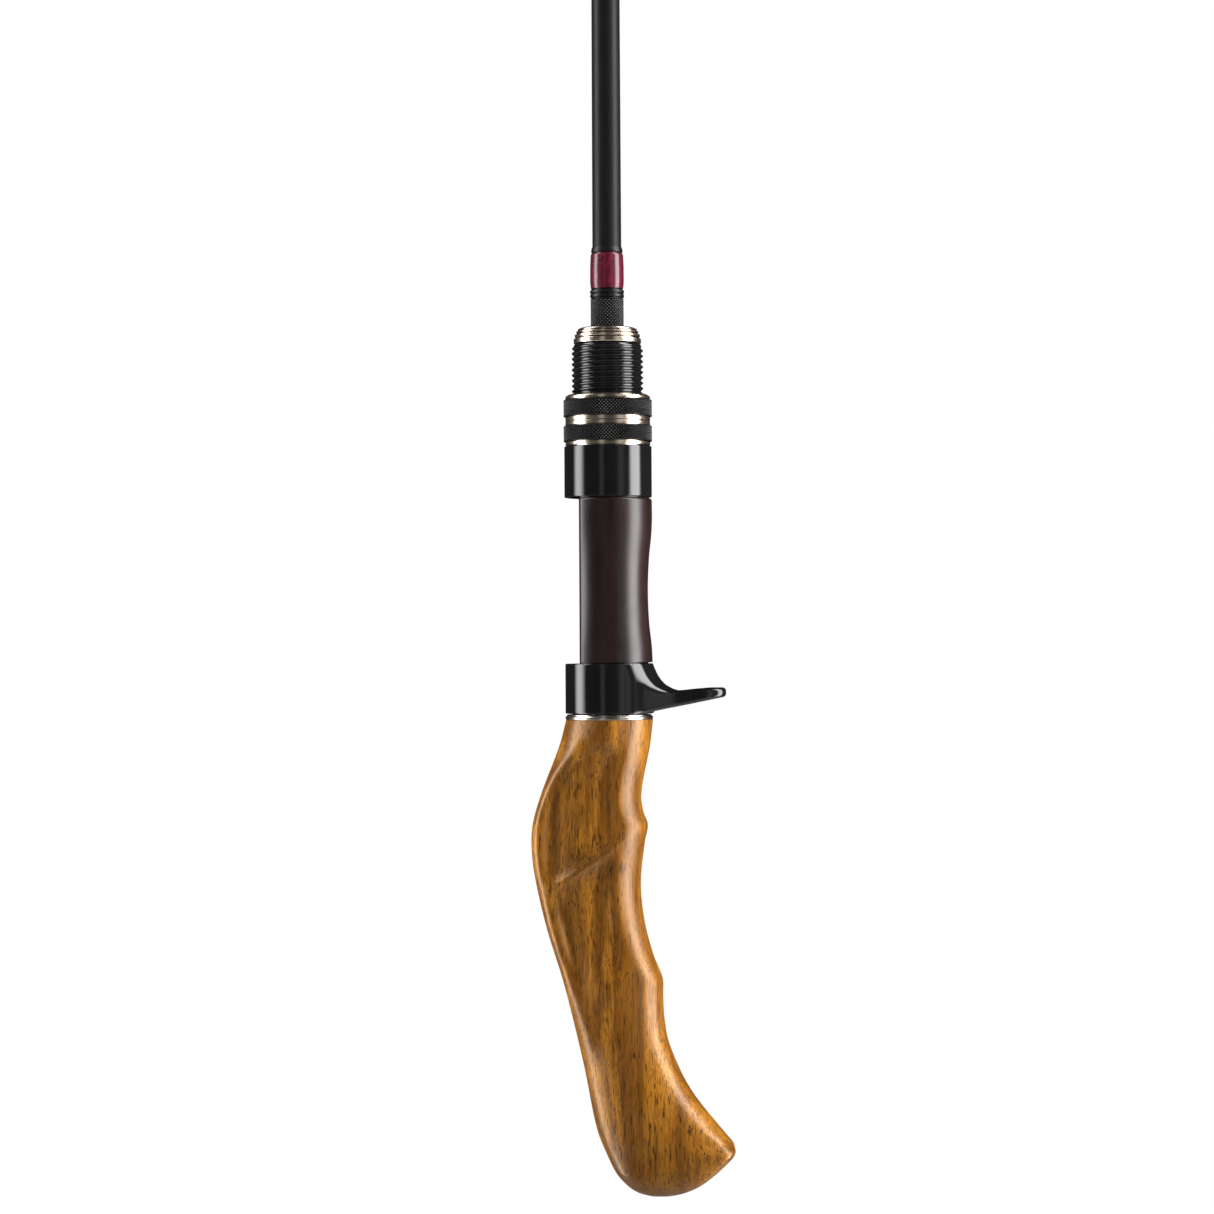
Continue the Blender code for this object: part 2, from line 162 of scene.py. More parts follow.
def makeSoftBoxes():
    tall = boxShape["high"] - boxShape["low"]
    middle = (boxShape["high"] + boxShape["low"]) / 2
    for name, box in softBoxes.items():
        data = bpy.data.lights.new(name, "AREA")
        data.shape = "RECTANGLE"
        data.size = 2 * boxShape["reach"] * math.tan(math.radians(box["spread"] / 2))
        data.size_y = tall
        data.energy = box["radiance"] * math.pi * data.size * tall
        fadeAcross(data, box["fade"])
        light = bpy.data.objects.new(name, data)
        bpy.context.scene.collection.objects.link(light)
        angle = math.radians(box["azimuth"])
        light.location = (boxShape["reach"] * math.sin(angle),
                          -boxShape["reach"] * math.cos(angle), middle)
        away = Vector((light.location.x, light.location.y, 0.0))
        light.rotation_euler = (-away).to_track_quat("-Z", "Y").to_euler()
        light.visible_camera = False


# ambient light in front of the rod and behind it, and the floor, which the camera sees as white
studioSet = {"front": 0.035, "back": 0.02, "floorDrop": 0.9, "floorSize": 160.0,
             "floorColour": (0.55, 0.55, 0.55)}


def makeStudio():
    scene = bpy.context.scene
    scene.view_settings.view_transform = "Standard"
    scene.view_settings.look = "None"
    scene.world = bpy.data.worlds.new("studioAir")
    scene.world.use_nodes = True
    air = NodeWork(scene.world.node_tree)
    air.nodes.clear()
    depth = air.split(air.add("TexCoord").outputs["Generated"])[1]
    strength = air.ranged(depth, -0.8, 0.6, studioSet["front"], studioSet["back"])
    ambient = air.add("Background", {"Color": (1, 1, 1), "Strength": strength})
    white = air.add("Background", {"Color": (1, 1, 1)})
    air.cameraSees(white.outputs[0], ambient.outputs[0], air.add("OutputWorld").inputs[0])

    bpy.ops.mesh.primitive_plane_add(size=studioSet["floorSize"])
    floor = bpy.context.object
    floor.name = "studioFloor"
    floor.location.z = cadBounds[0][2] - studioSet["floorDrop"]
    pale = Finish("paleFloor", Base_Color=studioSet["floorColour"], Roughness=0.9)
    pale.cameraSees(pale.add("Emission").outputs[0], pale.shader.outputs[0],
                    pale.nodes["Material Output"].inputs[0])
    floor.data.materials.append(pale.material)


def newPiece(name, points, faces, sharp=35.0):
    # points in millimetres
    mesh = bpy.data.meshes.new(name)
    mesh.from_pydata((np.asarray(points, dtype=float) * mm).tolist(), [], [list(f) for f in faces])
    mesh.validate()
    mesh.shade_smooth()
    mesh.set_sharp_from_angle(angle=math.radians(sharp))
    piece = bpy.data.objects.new(name, mesh)
    bpy.context.scene.collection.objects.link(piece)
    return piece


def gridFaces(rows, cols, closeRows):
    faces = []
    last = rows if closeRows else rows - 1
    for r in range(last):
        a, b = r * cols, ((r + 1) % rows) * cols
        for c in range(cols):
            d = (c + 1) % cols
            faces.append((a + c, a + d, b + d, b + c))
    return faces


def ringPiece(name, rows, closeRows=True, sharp=35.0):
    # rows of points round the piece, from low to high on the outside; ends are capped when open
    rows = np.asarray(rows, dtype=float)
    count, cols = rows.shape[:2]
    faces = gridFaces(count, cols, closeRows)
    if not closeRows:
        faces.append(tuple(range(cols - 1, -1, -1)))
        faces.append(tuple(range((count - 1) * cols, count * cols)))
    return newPiece(name, rows.reshape(-1, 3), faces, sharp)


def circleRow(radius, z, sides, centreX=0.0):
    angle = np.arange(sides) * math.tau / sides
    return np.stack([centreX + radius * np.cos(angle), radius * np.sin(angle),
                     np.full(sides, float(z))], axis=1)


def rounded(profile, steps=5):
    # fillets the corners of a closed (radius, z, fillet) profile
    out = []
    count = len(profile)
    for i in range(count):
        here = Vector(profile[i][:2])
        fillet = profile[i][2] if len(profile[i]) > 2 else 0.0
        before, after = Vector(profile[i - 1][:2]), Vector(profile[(i + 1) % count][:2])
        if fillet <= 0.0:
            out.append(tuple(here))
            continue
        back, on = (before - here), (after - here)
        room = min(fillet, 0.49 * back.length, 0.49 * on.length)
        start, end = here + back.normalized() * room, here + on.normalized() * room
        for k in range(steps + 1):
            t = k / steps
            out.append(tuple(start * (1 - t) ** 2 + here * 2 * t * (1 - t) + end * t * t))
    return out


def span(node):
    # lowest and highest z and the radius across, in millimetres
    low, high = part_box(node)
    return low[2] / mm, high[2] / mm, (high[1] - low[1]) / 2 / mm


def place(piece, finish, node):
    # the piece stands in for a CAD node, on the same body, in the finish given
    piece.data.materials.clear()
    piece.data.materials.append(finishes[finish])
    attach(piece, bodyOf[node])
    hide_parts(node)
    return piece


def turnedPiece(name, node, finish, profile, sides=160, centreX=0.0, sharp=35.0):
    # a turned ring from a closed profile, up the outside and down the bore
    rows = [circleRow(r, z, sides, centreX) for r, z in rounded(profile)]
    return place(ringPiece(name, rows, True, sharp), finish, node)


def smoothRun(u, low, high, slopeLow, slopeHigh):
    # from low at u = 0 to high at u = 1, with a given slope at each end
    run = low * (1 + 2 * u) * (1 - u) ** 2 + high * u * u * (3 - 2 * u)
    return run + slopeLow * u * (1 - u) ** 2 - slopeHigh * u * u * (1 - u)


def through(points):
    # a smooth function through (t, value) points
    t, v = np.array(sorted(points), dtype=float).T
    low = np.maximum(np.arange(len(t)) - 1, 0)
    high = np.minimum(np.arange(len(t)) + 1, len(t) - 1)
    slope = (v[high] - v[low]) / (t[high] - t[low])

    def value(x):
        x = np.clip(np.asarray(x, dtype=float), t[0], t[-1])
        k = np.clip(np.searchsorted(t, x) - 1, 0, len(t) - 2)
        wide = t[k + 1] - t[k]
        return smoothRun((x - t[k]) / wide, v[k], v[k + 1], wide * slope[k], wide * slope[k + 1])

    return value


def smoothStep(low, high, x):
    u = np.clip((np.asarray(x, dtype=float) - low) / (high - low), 0.0, 1.0)
    return u * u * (3 - 2 * u)


def softMin(a, b, k):
    h = np.clip(0.5 + 0.5 * (b - a) / k, 0.0, 1.0)
    return b * (1 - h) + a * h - k * h * (1 - h)


def softMax(a, b, k):
    return -softMin(-a, -b, k)


def blendedPiece(name, field, low, high, cell, sharp=180.0):
    # the surface where field(points) is zero, by surface nets, then set exactly on it
    axes = [np.arange(low[i] - cell, high[i] + 2 * cell, cell) for i in range(3)]
    grid = np.stack(np.meshgrid(*axes, indexing="ij"), axis=-1)
    shape = grid.shape[:3]
    value = field(grid.reshape(-1, 3)).reshape(shape)
    inside = value < 0
    total = np.zeros(tuple(n - 1 for n in shape) + (3,))
    hits = np.zeros(total.shape[:3])

    def part(array, corner):
        return array[tuple(slice(c, shape[i] - 1 + c) for i, c in enumerate(corner))]

    # each cell's point is the mean of where its twelve edges cross the surface
    for axis, corner in [(a, c) for a in range(3) for c in ((0, 0), (0, 1), (1, 0), (1, 1))]:
        start = list(corner)
        start.insert(axis, 0)
        end = list(start)
        end[axis] = 1
        a, b = part(value, start), part(value, end)
        cross = part(inside, start) != part(inside, end)
        spot = part(grid, start).copy()
        spot[..., axis] += np.where(cross, a / np.where(cross, a - b, 1.0), 0.0) * cell
        total += spot * cross[..., None]
        hits += cross
    filled = hits > 0
    index = np.full(hits.shape, -1)
    index[filled] = np.arange(filled.sum())
    points = total[filled] / hits[filled][:, None]
    # a face for each grid edge that crosses the surface, between the four cells round it
    faces = []
    for axis in range(3):
        others = [i for i in range(3) if i != axis]
        inner = [slice(1, n - 1) for n in shape]
        inA, inB = (inside[tuple(inner[:axis] + [run] + inner[axis + 1:])]
                    for run in (slice(0, shape[axis] - 1), slice(1, shape[axis])))
        where = np.argwhere(inA != inB)
        outward = inA[tuple(where.T)] ^ (axis == 1)
        ring = []
        for offset in ((0, 0), (1, 0), (1, 1), (0, 1)):
            spot = where.copy()
            spot[:, others] += offset
            ring.append(index[tuple(spot.T)])
        ring = np.stack(ring, axis=1)
        faces.append(np.where(outward[:, None], ring, ring[:, ::-1]))
    faces = np.concatenate(faces)
    step, ways = 1e-3, np.eye(3)
    for _ in range(4):
        slope = np.stack([(field(points + step * way) - field(points - step * way)) / (2 * step)
                          for way in ways], axis=1)
        size = np.maximum((slope ** 2).sum(axis=1), 1e-6)
        move = -(field(points) / size)[:, None] * slope
        reach = np.linalg.norm(move, axis=1)
        move *= np.minimum(1.0, 0.5 * cell / np.maximum(reach, 1e-9))[:, None]
        points = points + move
    return newPiece(name, points, faces.tolist(), sharp)


class EffectGroup(NodeWork):
    # a shader node group; an input without a value is a vector in millimetres

    def __init__(self, name, inputs, outputs):
        self.tree = bpy.data.node_groups.new(name, "ShaderNodeTree")
        super().__init__(self.tree)
        for label, value in inputs.items():
            kind = {tuple: "Color", float: "Float"}.get(type(value), "Vector")
            socket = self.tree.interface.new_socket(name=label, in_out="INPUT",
                                                    socket_type="NodeSocket" + kind)
            if value is not None:
                socket.default_value = (*value, 1.0) if kind == "Color" else value
        for label, kind in outputs.items():
            self.tree.interface.new_socket(name=label, in_out="OUTPUT", socket_type="NodeSocket" + kind)
        self.given = self.nodes.new("NodeGroupInput").outputs
        self.results = self.nodes.new("NodeGroupOutput").inputs

    def give(self, **sockets):
        for label, socket in sockets.items():
            self.links.new(socket, self.results[label])


def woodFigureGroup():
    # bands, fibres and long dark pores that run along z
    wood = EffectGroup("woodFigure", {"Vector": None, "Light": (0.5, 0.2, 0.05),
                                      "Middle": (0.35, 0.13, 0.03), "Dark": (0.1, 0.03, 0.01),
                                      "Pores": 1.0}, {"Color": "Color", "Height": "Float"})
    vector, dark = wood.given["Vector"], wood.given["Dark"]
    along = wood.stretched(vector, (1.0, 1.0, 0.05))
    bands = wood.noise(along, 0.16, 3.0, 0.55, 0.6)
    streaks = wood.noise(wood.stretched(vector, (1.0, 1.0, 0.035)), 0.75, 4.0, 0.6, 0.3)
    fibres = wood.noise(wood.stretched(vector, (1.0, 1.0, 0.045)), 4.6, 4.0, 0.65)
    colour = wood.mixed(wood.ranged(bands, 0.38, 0.64), wood.given["Middle"], wood.given["Light"])
    colour = wood.mixed(wood.ranged(streaks, 0.52, 0.70, 0.0, 0.60), colour, dark)
    colour = wood.mixed(wood.ranged(fibres, 0.46, 0.64, 0.0, 0.60), colour, dark)
    dashes = wood.noise(wood.stretched(vector, (1.0, 1.0, 0.10)), 2.3, 2.0, 0.5)
    crowd = wood.noise(along, 0.3, 2.0, 0.5)
    crowded = wood.math("ADD", dashes, wood.math("MULTIPLY", crowd, 0.22))
    pore = wood.math("MULTIPLY", wood.ranged(crowded, 0.70, 0.75), wood.given["Pores"], clamp=True)
    colour = wood.mixed(wood.math("MULTIPLY", pore, 0.8), colour, dark)
    wood.give(Color=colour, Height=wood.math("SUBTRACT", wood.math("MULTIPLY", fibres, 0.25), pore))
    return wood.tree


def handledGroup():
    # smudges and fine scuffs: a roughness that changes over the surface, and a small height
    touch = EffectGroup("handled", {"Vector": None, "Roughness": 0.2, "Smudge": 0.08, "Scuff": 0.05},
                        {"Roughness": "Float", "Height": "Float"})
    vector = touch.given["Vector"]
    cloud = touch.ranged(touch.noise(vector, 0.11, 4.0, 0.6, 0.4), 0.35, 0.7)
    fine = touch.noise(touch.stretched(vector, (1.0, 1.0, 0.25)), 1.9, 5.0, 0.7)
    smudge = touch.math("MULTIPLY", cloud, touch.given["Smudge"])
    scuff = touch.math("MULTIPLY", touch.ranged(fine, 0.62, 0.74), touch.given["Scuff"])
    rough = touch.math("ADD", touch.given["Roughness"], smudge)
    touch.give(Roughness=touch.math("ADD", rough, scuff, clamp=True),
               Height=touch.noise(vector, 0.9, 2.0, 0.5))
    return touch.tree


def threadTurnsGroup():
    # turns of winding thread stacked along z, with slight slubs
    turns = EffectGroup("threadTurns", {"Vector": None, "Thread": 0.16},
                        {"Height": "Float", "Gap": "Float", "Slub": "Float"})
    vector = turns.given["Vector"]
    x, y, z = turns.split(vector)
    turn = turns.math("DIVIDE", turns.math("ARCTAN2", y, x), math.tau)
    waver = turns.math("MULTIPLY", turns.noise(vector, 0.5, 1.0), 0.3)
    phase = turns.math("ADD", turns.math("DIVIDE", z, turns.given["Thread"]),
                       turns.math("ADD", turn, waver))
    wave = turns.math("SINE", turns.math("MULTIPLY", phase, math.tau))
    turns.give(Height=wave, Gap=turns.ranged(wave, -1.0, -0.55, 1.0, 0.0),
               Slub=turns.noise(turns.stretched(vector, (0.35, 0.35, 3.0)), 1.6, 3.0))
    return turns.tree


def turnedLinesGroup():
    # fine lines that a lathe leaves round a metal piece
    lathe = EffectGroup("turnedLines", {"Vector": None, "Roughness": 0.15},
                        {"Height": "Float", "Roughness": "Float", "Tint": "Float"})
    vector = lathe.given["Vector"]
    lines = lathe.noise(lathe.stretched(vector, (0.02, 0.02, 1.0)), 9.0, 3.0, 0.7)
    rough = lathe.math("ADD", lathe.given["Roughness"], lathe.math("MULTIPLY", lines, 0.08))
    lathe.give(Height=lines, Roughness=rough, Tint=lathe.noise(vector, 0.2, 3.0))
    return lathe.tree


groups = {"wood": woodFigureGroup(), "handled": handledGroup(), "thread": threadTurnsGroup(),
          "turned": turnedLinesGroup()}
print("made", len(groups), "effects")


class Finish(NodeWork):
    # a material with its shader, and millimetre coordinates to hang textures on

    def __init__(self, name, **values):
        self.material = bpy.data.materials.new(name)
        self.material.use_nodes = True
        super().__init__(self.material.node_tree)
        self.shader = self.nodes["Principled BSDF"]
        for label, value in values.items():
            setSocket(self.shader.inputs[label.replace("_", " ")], value)
        where = self.add("TexCoord").outputs["Object"]
        self.vector = self.add("VectorMath", {0: where, "Scale": 1.0 / mm}, operation="SCALE").outputs[0]

    def effect(self, kind, **values):
        return self.add("Group", {"Vector": self.vector, **values}, node_tree=groups[kind]).outputs

    def feed(self, **sockets):
        for label, socket in sockets.items():
            self.links.new(socket, self.shader.inputs[label.replace("_", " ")])

    def handled(self, roughness, smudge, scuff):
        # feeds the roughness of a handled surface and returns its height
        effect = self.effect("handled", Roughness=roughness, Smudge=smudge, Scuff=scuff)
        self.feed(Roughness=effect["Roughness"])
        return effect["Height"]

    def bump(self, height, strength, distance):
        self.feed(Normal=self.add("Bump", {"Height": height, "Strength": strength,
                                           "Distance": distance * mm}).outputs[0])

    def relief(self):
        # what the piece's mesh says: a knurl's height, which sets where its light and shade are painted, or
        # 1 in the groove of a metal piece, where shade is painted
        return self.add("Attribute", attribute_name="relief").outputs["Fac"]


# painted shade: soft dark patches put into the wood's colour where shade falls, above the finger
# crease and at the butt's lower end; each with its middle, its fall-off to each side and its strength
woodFinish = {"light": (0.46, 0.182, 0.016), "middle": (0.210, 0.075, 0.006),
              "dark": (0.030, 0.009, 0.001), "glow": (1.0, 0.72, 0.48), "roughness": 0.31,
              "paintedShade": [((-6.5, -9.0, -40.5), (0.12, 0.05, 0.15), 0.62),
                          ((13.0, -6.0, -137.0), (0.035, 0.03, 0.042), 0.68)]}


def makeWoodFinish():
    finish = Finish("lacqueredWood", IOR=1.6, Specular_Tint=woodFinish["glow"])
    figure = finish.effect("wood", Light=woodFinish["light"], Middle=woodFinish["middle"],
                           Dark=woodFinish["dark"], Pores=1.0)
    finish.handled(woodFinish["roughness"], 0.08, 0.03)
    colour = figure["Color"]
    # painted shade: each patch darkens the wood's colour towards its middle
    for middle, falloff, strength in woodFinish["paintedShade"]:
        off = finish.vectorMath("SUBTRACT", finish.vector, middle)[0]
        away = finish.vectorMath("LENGTH", finish.stretched(off, falloff))["Value"]
        ragged = finish.math("ADD", away, figure["Height"])
        colour = finish.mixed(finish.ranged(ragged, 0.15, 1.4, strength, 0.0), colour,
                              woodFinish["dark"])
    finish.feed(Base_Color=colour)
    finish.bump(figure["Height"], 0.25, 0.05)
    return finish.material


def makeSeatBrown():
    # a stained wood figure, hardly to be seen under its satin coat
    finish = Finish("satinBrown", IOR=1.45)
    figure = finish.effect("wood", Light=(0.024, 0.010, 0.009), Middle=(0.011, 0.006, 0.005),
                           Dark=(0.003, 0.002, 0.002), Pores=0.0)
    finish.feed(Base_Color=figure["Color"])
    finish.handled(0.29, 0.04, 0.0)
    return finish.material


# finishes of one colour: handled holds roughness, smudge and scuff, bump strength and depth
plainFinishes = {
    "gloss": {"name": "glossBlack", "colour": (0.007, 0.007, 0.008), "ior": 1.5,
              "handled": (0.07, 0.05, 0.03), "bump": (0.05, 0.02)},
    "satin": {"name": "satinBlack", "colour": (0.006, 0.006, 0.006), "ior": 1.34,
              "handled": (0.33, 0.08, 0.05), "bump": None},
    "ceramic": {"name": "polishedCeramic", "colour": (0.035, 0.036, 0.04), "ior": 1.9,
                "handled": (0.04, 0.04, 0.02), "bump": None},
}


def makePlainFinish(name, colour, ior, handled, bump):
    finish = Finish(name, Base_Color=colour, IOR=ior)
    height = finish.handled(*handled)
    if bump:
        finish.bump(height, *bump)
    return finish.material


# painted light and shade for the knurl: a dark colour for its hollows, a lighter one for its crests
knurlLightAndShade = {"hollow": (0.001, 0.001, 0.001), "crest": (0.15, 0.147, 0.144)}


def makeKnurlBlack():
    # the knurl's hollows are painted dark as shade and its crests painted lighter as highlight
    finish = Finish("knurlBlack", IOR=1.27)
    litCrests = finish.ranged(finish.relief(), 0.5, 1.0)
    finish.feed(Base_Color=finish.mixed(litCrests, knurlLightAndShade["hollow"], knurlLightAndShade["crest"]))
    finish.bump(finish.handled(0.4, 0.06, 0.05), 0.2, 0.02)
    return finish.material


metalFinishes = {
    "gold": {"name": "champagneMetal", "light": (0.88, 0.76, 0.63), "deep": (0.80, 0.66, 0.52),
             "roughness": 0.18},
    "silver": {"name": "polishedRing", "light": (0.76, 0.70, 0.60), "deep": (0.66, 0.59, 0.49),
               "roughness": 0.18},
    "smoke": {"name": "smokedSteel", "light": (0.32, 0.32, 0.34), "deep": (0.22, 0.22, 0.24),
              "roughness": 0.14},
}
# painted shade: the dark colour that turned metal takes in its grooves
grooveShadeColour = (0.03, 0.022, 0.016)


def makeMetal(name, light, deep, roughness):
    # turned metal, with shade painted dark into the grooves of its piece
    finish = Finish(name, Metallic=1.0)
    lines = finish.effect("turned", Roughness=roughness)
    colour = finish.mixed(finish.relief(), finish.mixed(lines["Tint"], light, deep), grooveShadeColour)
    finish.feed(Base_Color=colour, Roughness=lines["Roughness"])
    finish.bump(lines["Height"], 0.12, 0.02)
    return finish.material


windingFinishes = {
    "red": {"name": "crimsonWinding", "thread": (0.11, 0.001, 0.016), "deep": (0.02, 0.001, 0.004),
            "pearl": (0.30, 0.006, 0.055), "marbling": 0.8},
    "black": {"name": "blackWinding", "thread": (0.010, 0.009, 0.010),
              "deep": (0.003, 0.003, 0.003), "pearl": (0.02, 0.02, 0.02), "marbling": 0.3},
}


def makeWinding(name, thread, deep, pearl, marbling):
    # marbled thread under a clear coat
    finish = Finish(name, Coat_Weight=0.75, Coat_Roughness=0.03, Coat_IOR=1.5, Roughness=0.5, IOR=1.25)
    turns = finish.effect("thread", Thread=0.17)
    cloud = finish.noise(finish.stretched(finish.vector, (1.0, 1.0, 0.8)), 0.55, 3.0, 0.6, 1.2)
    colour = finish.mixed(finish.ranged(cloud, 0.5, 0.72, 0.0, marbling), thread, pearl)
    colour = finish.mixed(finish.ranged(turns["Slub"], 0.35, 0.6, 0.5, 0.0), colour, deep)
    colour = finish.mixed(finish.math("MULTIPLY", turns["Gap"], 0.45), colour, deep)
    finish.feed(Base_Color=colour)
    finish.bump(turns["Height"], 0.25, 0.03)
    return finish.material


blankFinish = {"fibre": (0.005, 0.005, 0.005), "resin": (0.012, 0.012, 0.012), "tape": 3.2}


def makeBlankFinish():
    # graphite fibres, and the faint spiral that the wrapping tape leaves
    finish = Finish("satinGraphite", IOR=1.24)
    x, y, z = finish.split(finish.vector)
    turn = finish.math("DIVIDE", finish.math("ARCTAN2", y, x), math.tau)
    wrap = finish.math("ADD", finish.math("DIVIDE", z, blankFinish["tape"]), turn)
    tape = finish.math("SINE", finish.math("MULTIPLY", wrap, math.tau))
    fibres = finish.noise(finish.stretched(finish.vector, (1.0, 1.0, 0.03)), 3.0, 3.0)
    finish.feed(Base_Color=finish.mixed(fibres, blankFinish["fibre"], blankFinish["resin"]))
    finish.handled(0.37, 0.05, 0.03)
    finish.bump(tape, 0.12, 0.015)
    return finish.material


foamFinish = {"cell": (0.42, 0.37, 0.28), "wall": (0.6, 0.55, 0.45)}


def makeFoam():
    finish = Finish("arborFoam", Roughness=0.85)
    cells = finish.add("TexVoronoi", {"Vector": finish.vector, "Scale": 2.5}).outputs["Distance"]
    finish.feed(Base_Color=finish.mixed(cells, foamFinish["cell"], foamFinish["wall"]))
    finish.bump(cells, 0.5, 0.1)
    return finish.material


finishes = {"wood": makeWoodFinish(), "seat": makeSeatBrown(), "knurl": makeKnurlBlack(),
            "blank": makeBlankFinish(), "foam": makeFoam()}
for make, table in ((makePlainFinish, plainFinishes), (makeMetal, metalFinishes),
                    (makeWinding, windingFinishes)):
    finishes.update({key: make(**values) for key, values in table.items()})
print("made", len(finishes), "finishes")


# side outlines (z, x), the depth of the faces (z, half width), the radii of the rounded
# palm side and finger side, and the ridge that the carved faces leave near the palm side
gripShape = {
    "palm": [(0, -12.4), (-7, -14.3), (-20, -19.3), (-28, -21.7), (-34, -22.3), (-43, -21.5),
             (-58, -18.2), (-75, -13.1), (-98, -7.7), (-116, -4.1), (-125.3, -0.5),
             (-130, 2.3), (-134, 7.0), (-135.9, 12.0)],
    "finger": [(0, 12.4), (-7, 11.5), (-20.4, 9.0), (-25.5, 9.5), (-29.5, 10.8), (-34, 10.0),
               (-45.5, 8.75), (-56, 9.6), (-66, 12.05), (-73.2, 14.8), (-77.5, 14.9),
               (-84, 15.2), (-92, 16.7), (-105, 22.8), (-118.4, 33.1), (-121.8, 35.1),
               (-125, 33.2), (-132, 25.5), (-134.6, 20.4), (-135.9, 15.6)],
    "depth": [(0, 12.4), (-8.5, 12.0), (-20, 11.5), (-35, 11.2), (-50, 10.7), (-70, 10.1),
              (-90, 9.7), (-108, 9.6), (-119, 9.8), (-126, 9.6), (-131, 8.7), (-134, 7.0),
              (-135.4, 4.8), (-135.9, 2.2)],
    "palmRadius": [(0, 12.4), (-8.5, 10.8), (-20, 10.0), (-40, 9.5), (-60, 8.0), (-80, 7.2),
                   (-105, 6.8), (-122, 7.2), (-135.9, 6.0)],
    "fingerRadius": [(0, 12.4), (-8.5, 10.9), (-25, 10.4), (-45, 10.3), (-70, 9.4), (-100, 9.0),
                     (-116, 8.2), (-121, 5.0), (-124, 3.8), (-130, 3.4), (-135.9, 1.6)],
    "fingerFlat": [(0, 0.2), (-112, 0.2), (-119, 2.0), (-123, 5.5), (-130, 6.4), (-134.5, 5.6),
                   (-135.9, 4.6)],
    "palmFlat": [(0, 0.2), (-6, 0.3), (-16, 2.4), (-25, 3.5), (-60, 3.5), (-80, 2.4), (-95, 0.6),
                 (-105, 0.2), (-122, 0.2), (-128, 2.2), (-133, 4.4), (-135.9, 4.6)],
    "fingerAngle": [(0, 22), (-60, 17), (-80, 15), (-100, 12), (-120, 12), (-136, 12)],
    "ridge": [(-5, -8.0), (-8.4, -9.2), (-15.2, -15.1), (-22.4, -18.6), (-27.2, -19.9),
              (-33.8, -20.3), (-38.3, -20.0), (-44.9, -18.8), (-48.9, -17.7), (-54.9, -16.7),
              (-61.4, -15.1), (-69.4, -12.9), (-79.4, -9.6), (-88, -6.2), (-96, -3.6)],
    "crestHeight": -29.5, "crestReach": 10.75, "crestSlope": 0.64, "groove": 2.5,
    "grooveLength": 4.0,
    "top": 0.45, "ridgeEase": 2.1, "ridgeTurn": 44.0, "freeAngle": 34.0, "carvedTop": (-4.0, -10.0),
    "carvedEnd": (-96.0, -80.0), "dome": -124.0, "buttLift": 0.055, "buttStart": -116.0,
}


def eased(half, corner, carved):
    # rounds the ridge of the carved face
    gap = np.linalg.norm(half - np.asarray(corner), axis=1)
    weight = np.exp(-(gap / gripShape["ridgeEase"]) ** 2)
    near = np.exp(-(np.linalg.norm(half[:, None] - half[None], axis=2) / gripShape["ridgeEase"]) ** 2)
    step = np.linalg.norm(np.gradient(half, axis=0), axis=1)
    near *= step[None]
    smooth = (near @ half) / near.sum(axis=1, keepdims=True)
    return half + (smooth - half) * (weight * carved)[:, None]


def gripRow(z, curve):
    # one level section: palm arc, carved face, finger arc, then the same on the far side
    at = {key: float(value(z)) for key, value in curve.items()}
    xl, xr, depth = at["palm"], at["finger"], at["depth"]
    widest = min(0.45 * (xr - xl), 1.02 * depth)
    rl, rr = min(at["palmRadius"], widest), min(at["fingerRadius"], widest)
    carved = float(smoothStep(*gripShape["carvedTop"], z) * smoothStep(*gripShape["carvedEnd"], z))
    # palm arc up to the ridge, or to where an uncarved face would leave it
    free = xl + rl * (1 - math.sin(math.radians(gripShape["freeAngle"])))
    ridge = carved * max(at["ridge"], xl + 0.6) + (1 - carved) * free
    palmAngle = math.asin(min(max(1 - (ridge - xl) / rl, 0.15), 0.98))
    palmFlat, fingerFlat = min(at["palmFlat"], 0.6 * depth), min(at["fingerFlat"], 0.6 * depth)
    rl, rr = min(rl, 0.98 * depth - palmFlat), min(rr, 0.98 * depth - fingerFlat)
    turn = np.linspace(math.pi / 2, palmAngle, 15)
    left = np.stack([xl + rl - rl * np.sin(turn), palmFlat + rl * np.cos(turn)], axis=1)
    # finger arc from its shoulder
    fingerAngle = math.radians(at["fingerAngle"])
    turn = np.linspace(fingerAngle, math.pi / 2, 15)
    right = np.stack([xr - rr + rr * np.sin(turn), fingerFlat + rr * np.cos(turn)], axis=1)
    # the face between them, which leaves the ridge at a flatter angle where it is carved
    a, b = left[-1], right[0]
    middle = np.array([0.45 * a[0] + 0.55 * b[0], depth])
    leaving = math.tan(palmAngle - carved * math.radians(gripShape["ridgeTurn"]))
    u, face = np.linspace(0, 1, 17)[1:], []
    for start, end, s0, s1 in ((a, middle, leaving, 0.0), (middle, b, 0.0, -math.tan(fingerAngle))):
        wide = end[0] - start[0]
        face.append(np.stack([start[0] + wide * u,
                              smoothRun(u, start[1], end[1], wide * s0, wide * s1)], axis=1))
    face = np.concatenate(face)[:-1]
    # finger grooves that run down across the face, with a crest between them
    crest = z - gripShape["crestSlope"] * (face[:, 0] - gripShape["crestReach"])
    off = np.abs(crest - gripShape["crestHeight"])
    hollow = (1.0 - np.exp(-off / gripShape["grooveLength"])) * smoothStep(40.0, 20.0, off)
    across = smoothStep(a[0], a[0] + 4.0, face[:, 0]) * smoothStep(b[0] + 1.0, b[0] - 5.0, face[:, 0])
    face[:, 1] -= gripShape["groove"] * hollow * across * carved
    palmEnd = [(xl, palmFlat * u) for u in (0.0, 0.35, 0.7)]
    fingerEnd = [(xr, fingerFlat * u) for u in (0.7, 0.35, 0.0)]
    half = eased(np.concatenate([palmEnd, left, face, right, fingerEnd]), a, carved)
    near = np.stack([half[:, 0], -half[:, 1], np.full(len(half), z)], axis=1)
    return np.concatenate([near, near[-2:0:-1] * np.array([1.0, -1.0, 1.0])])


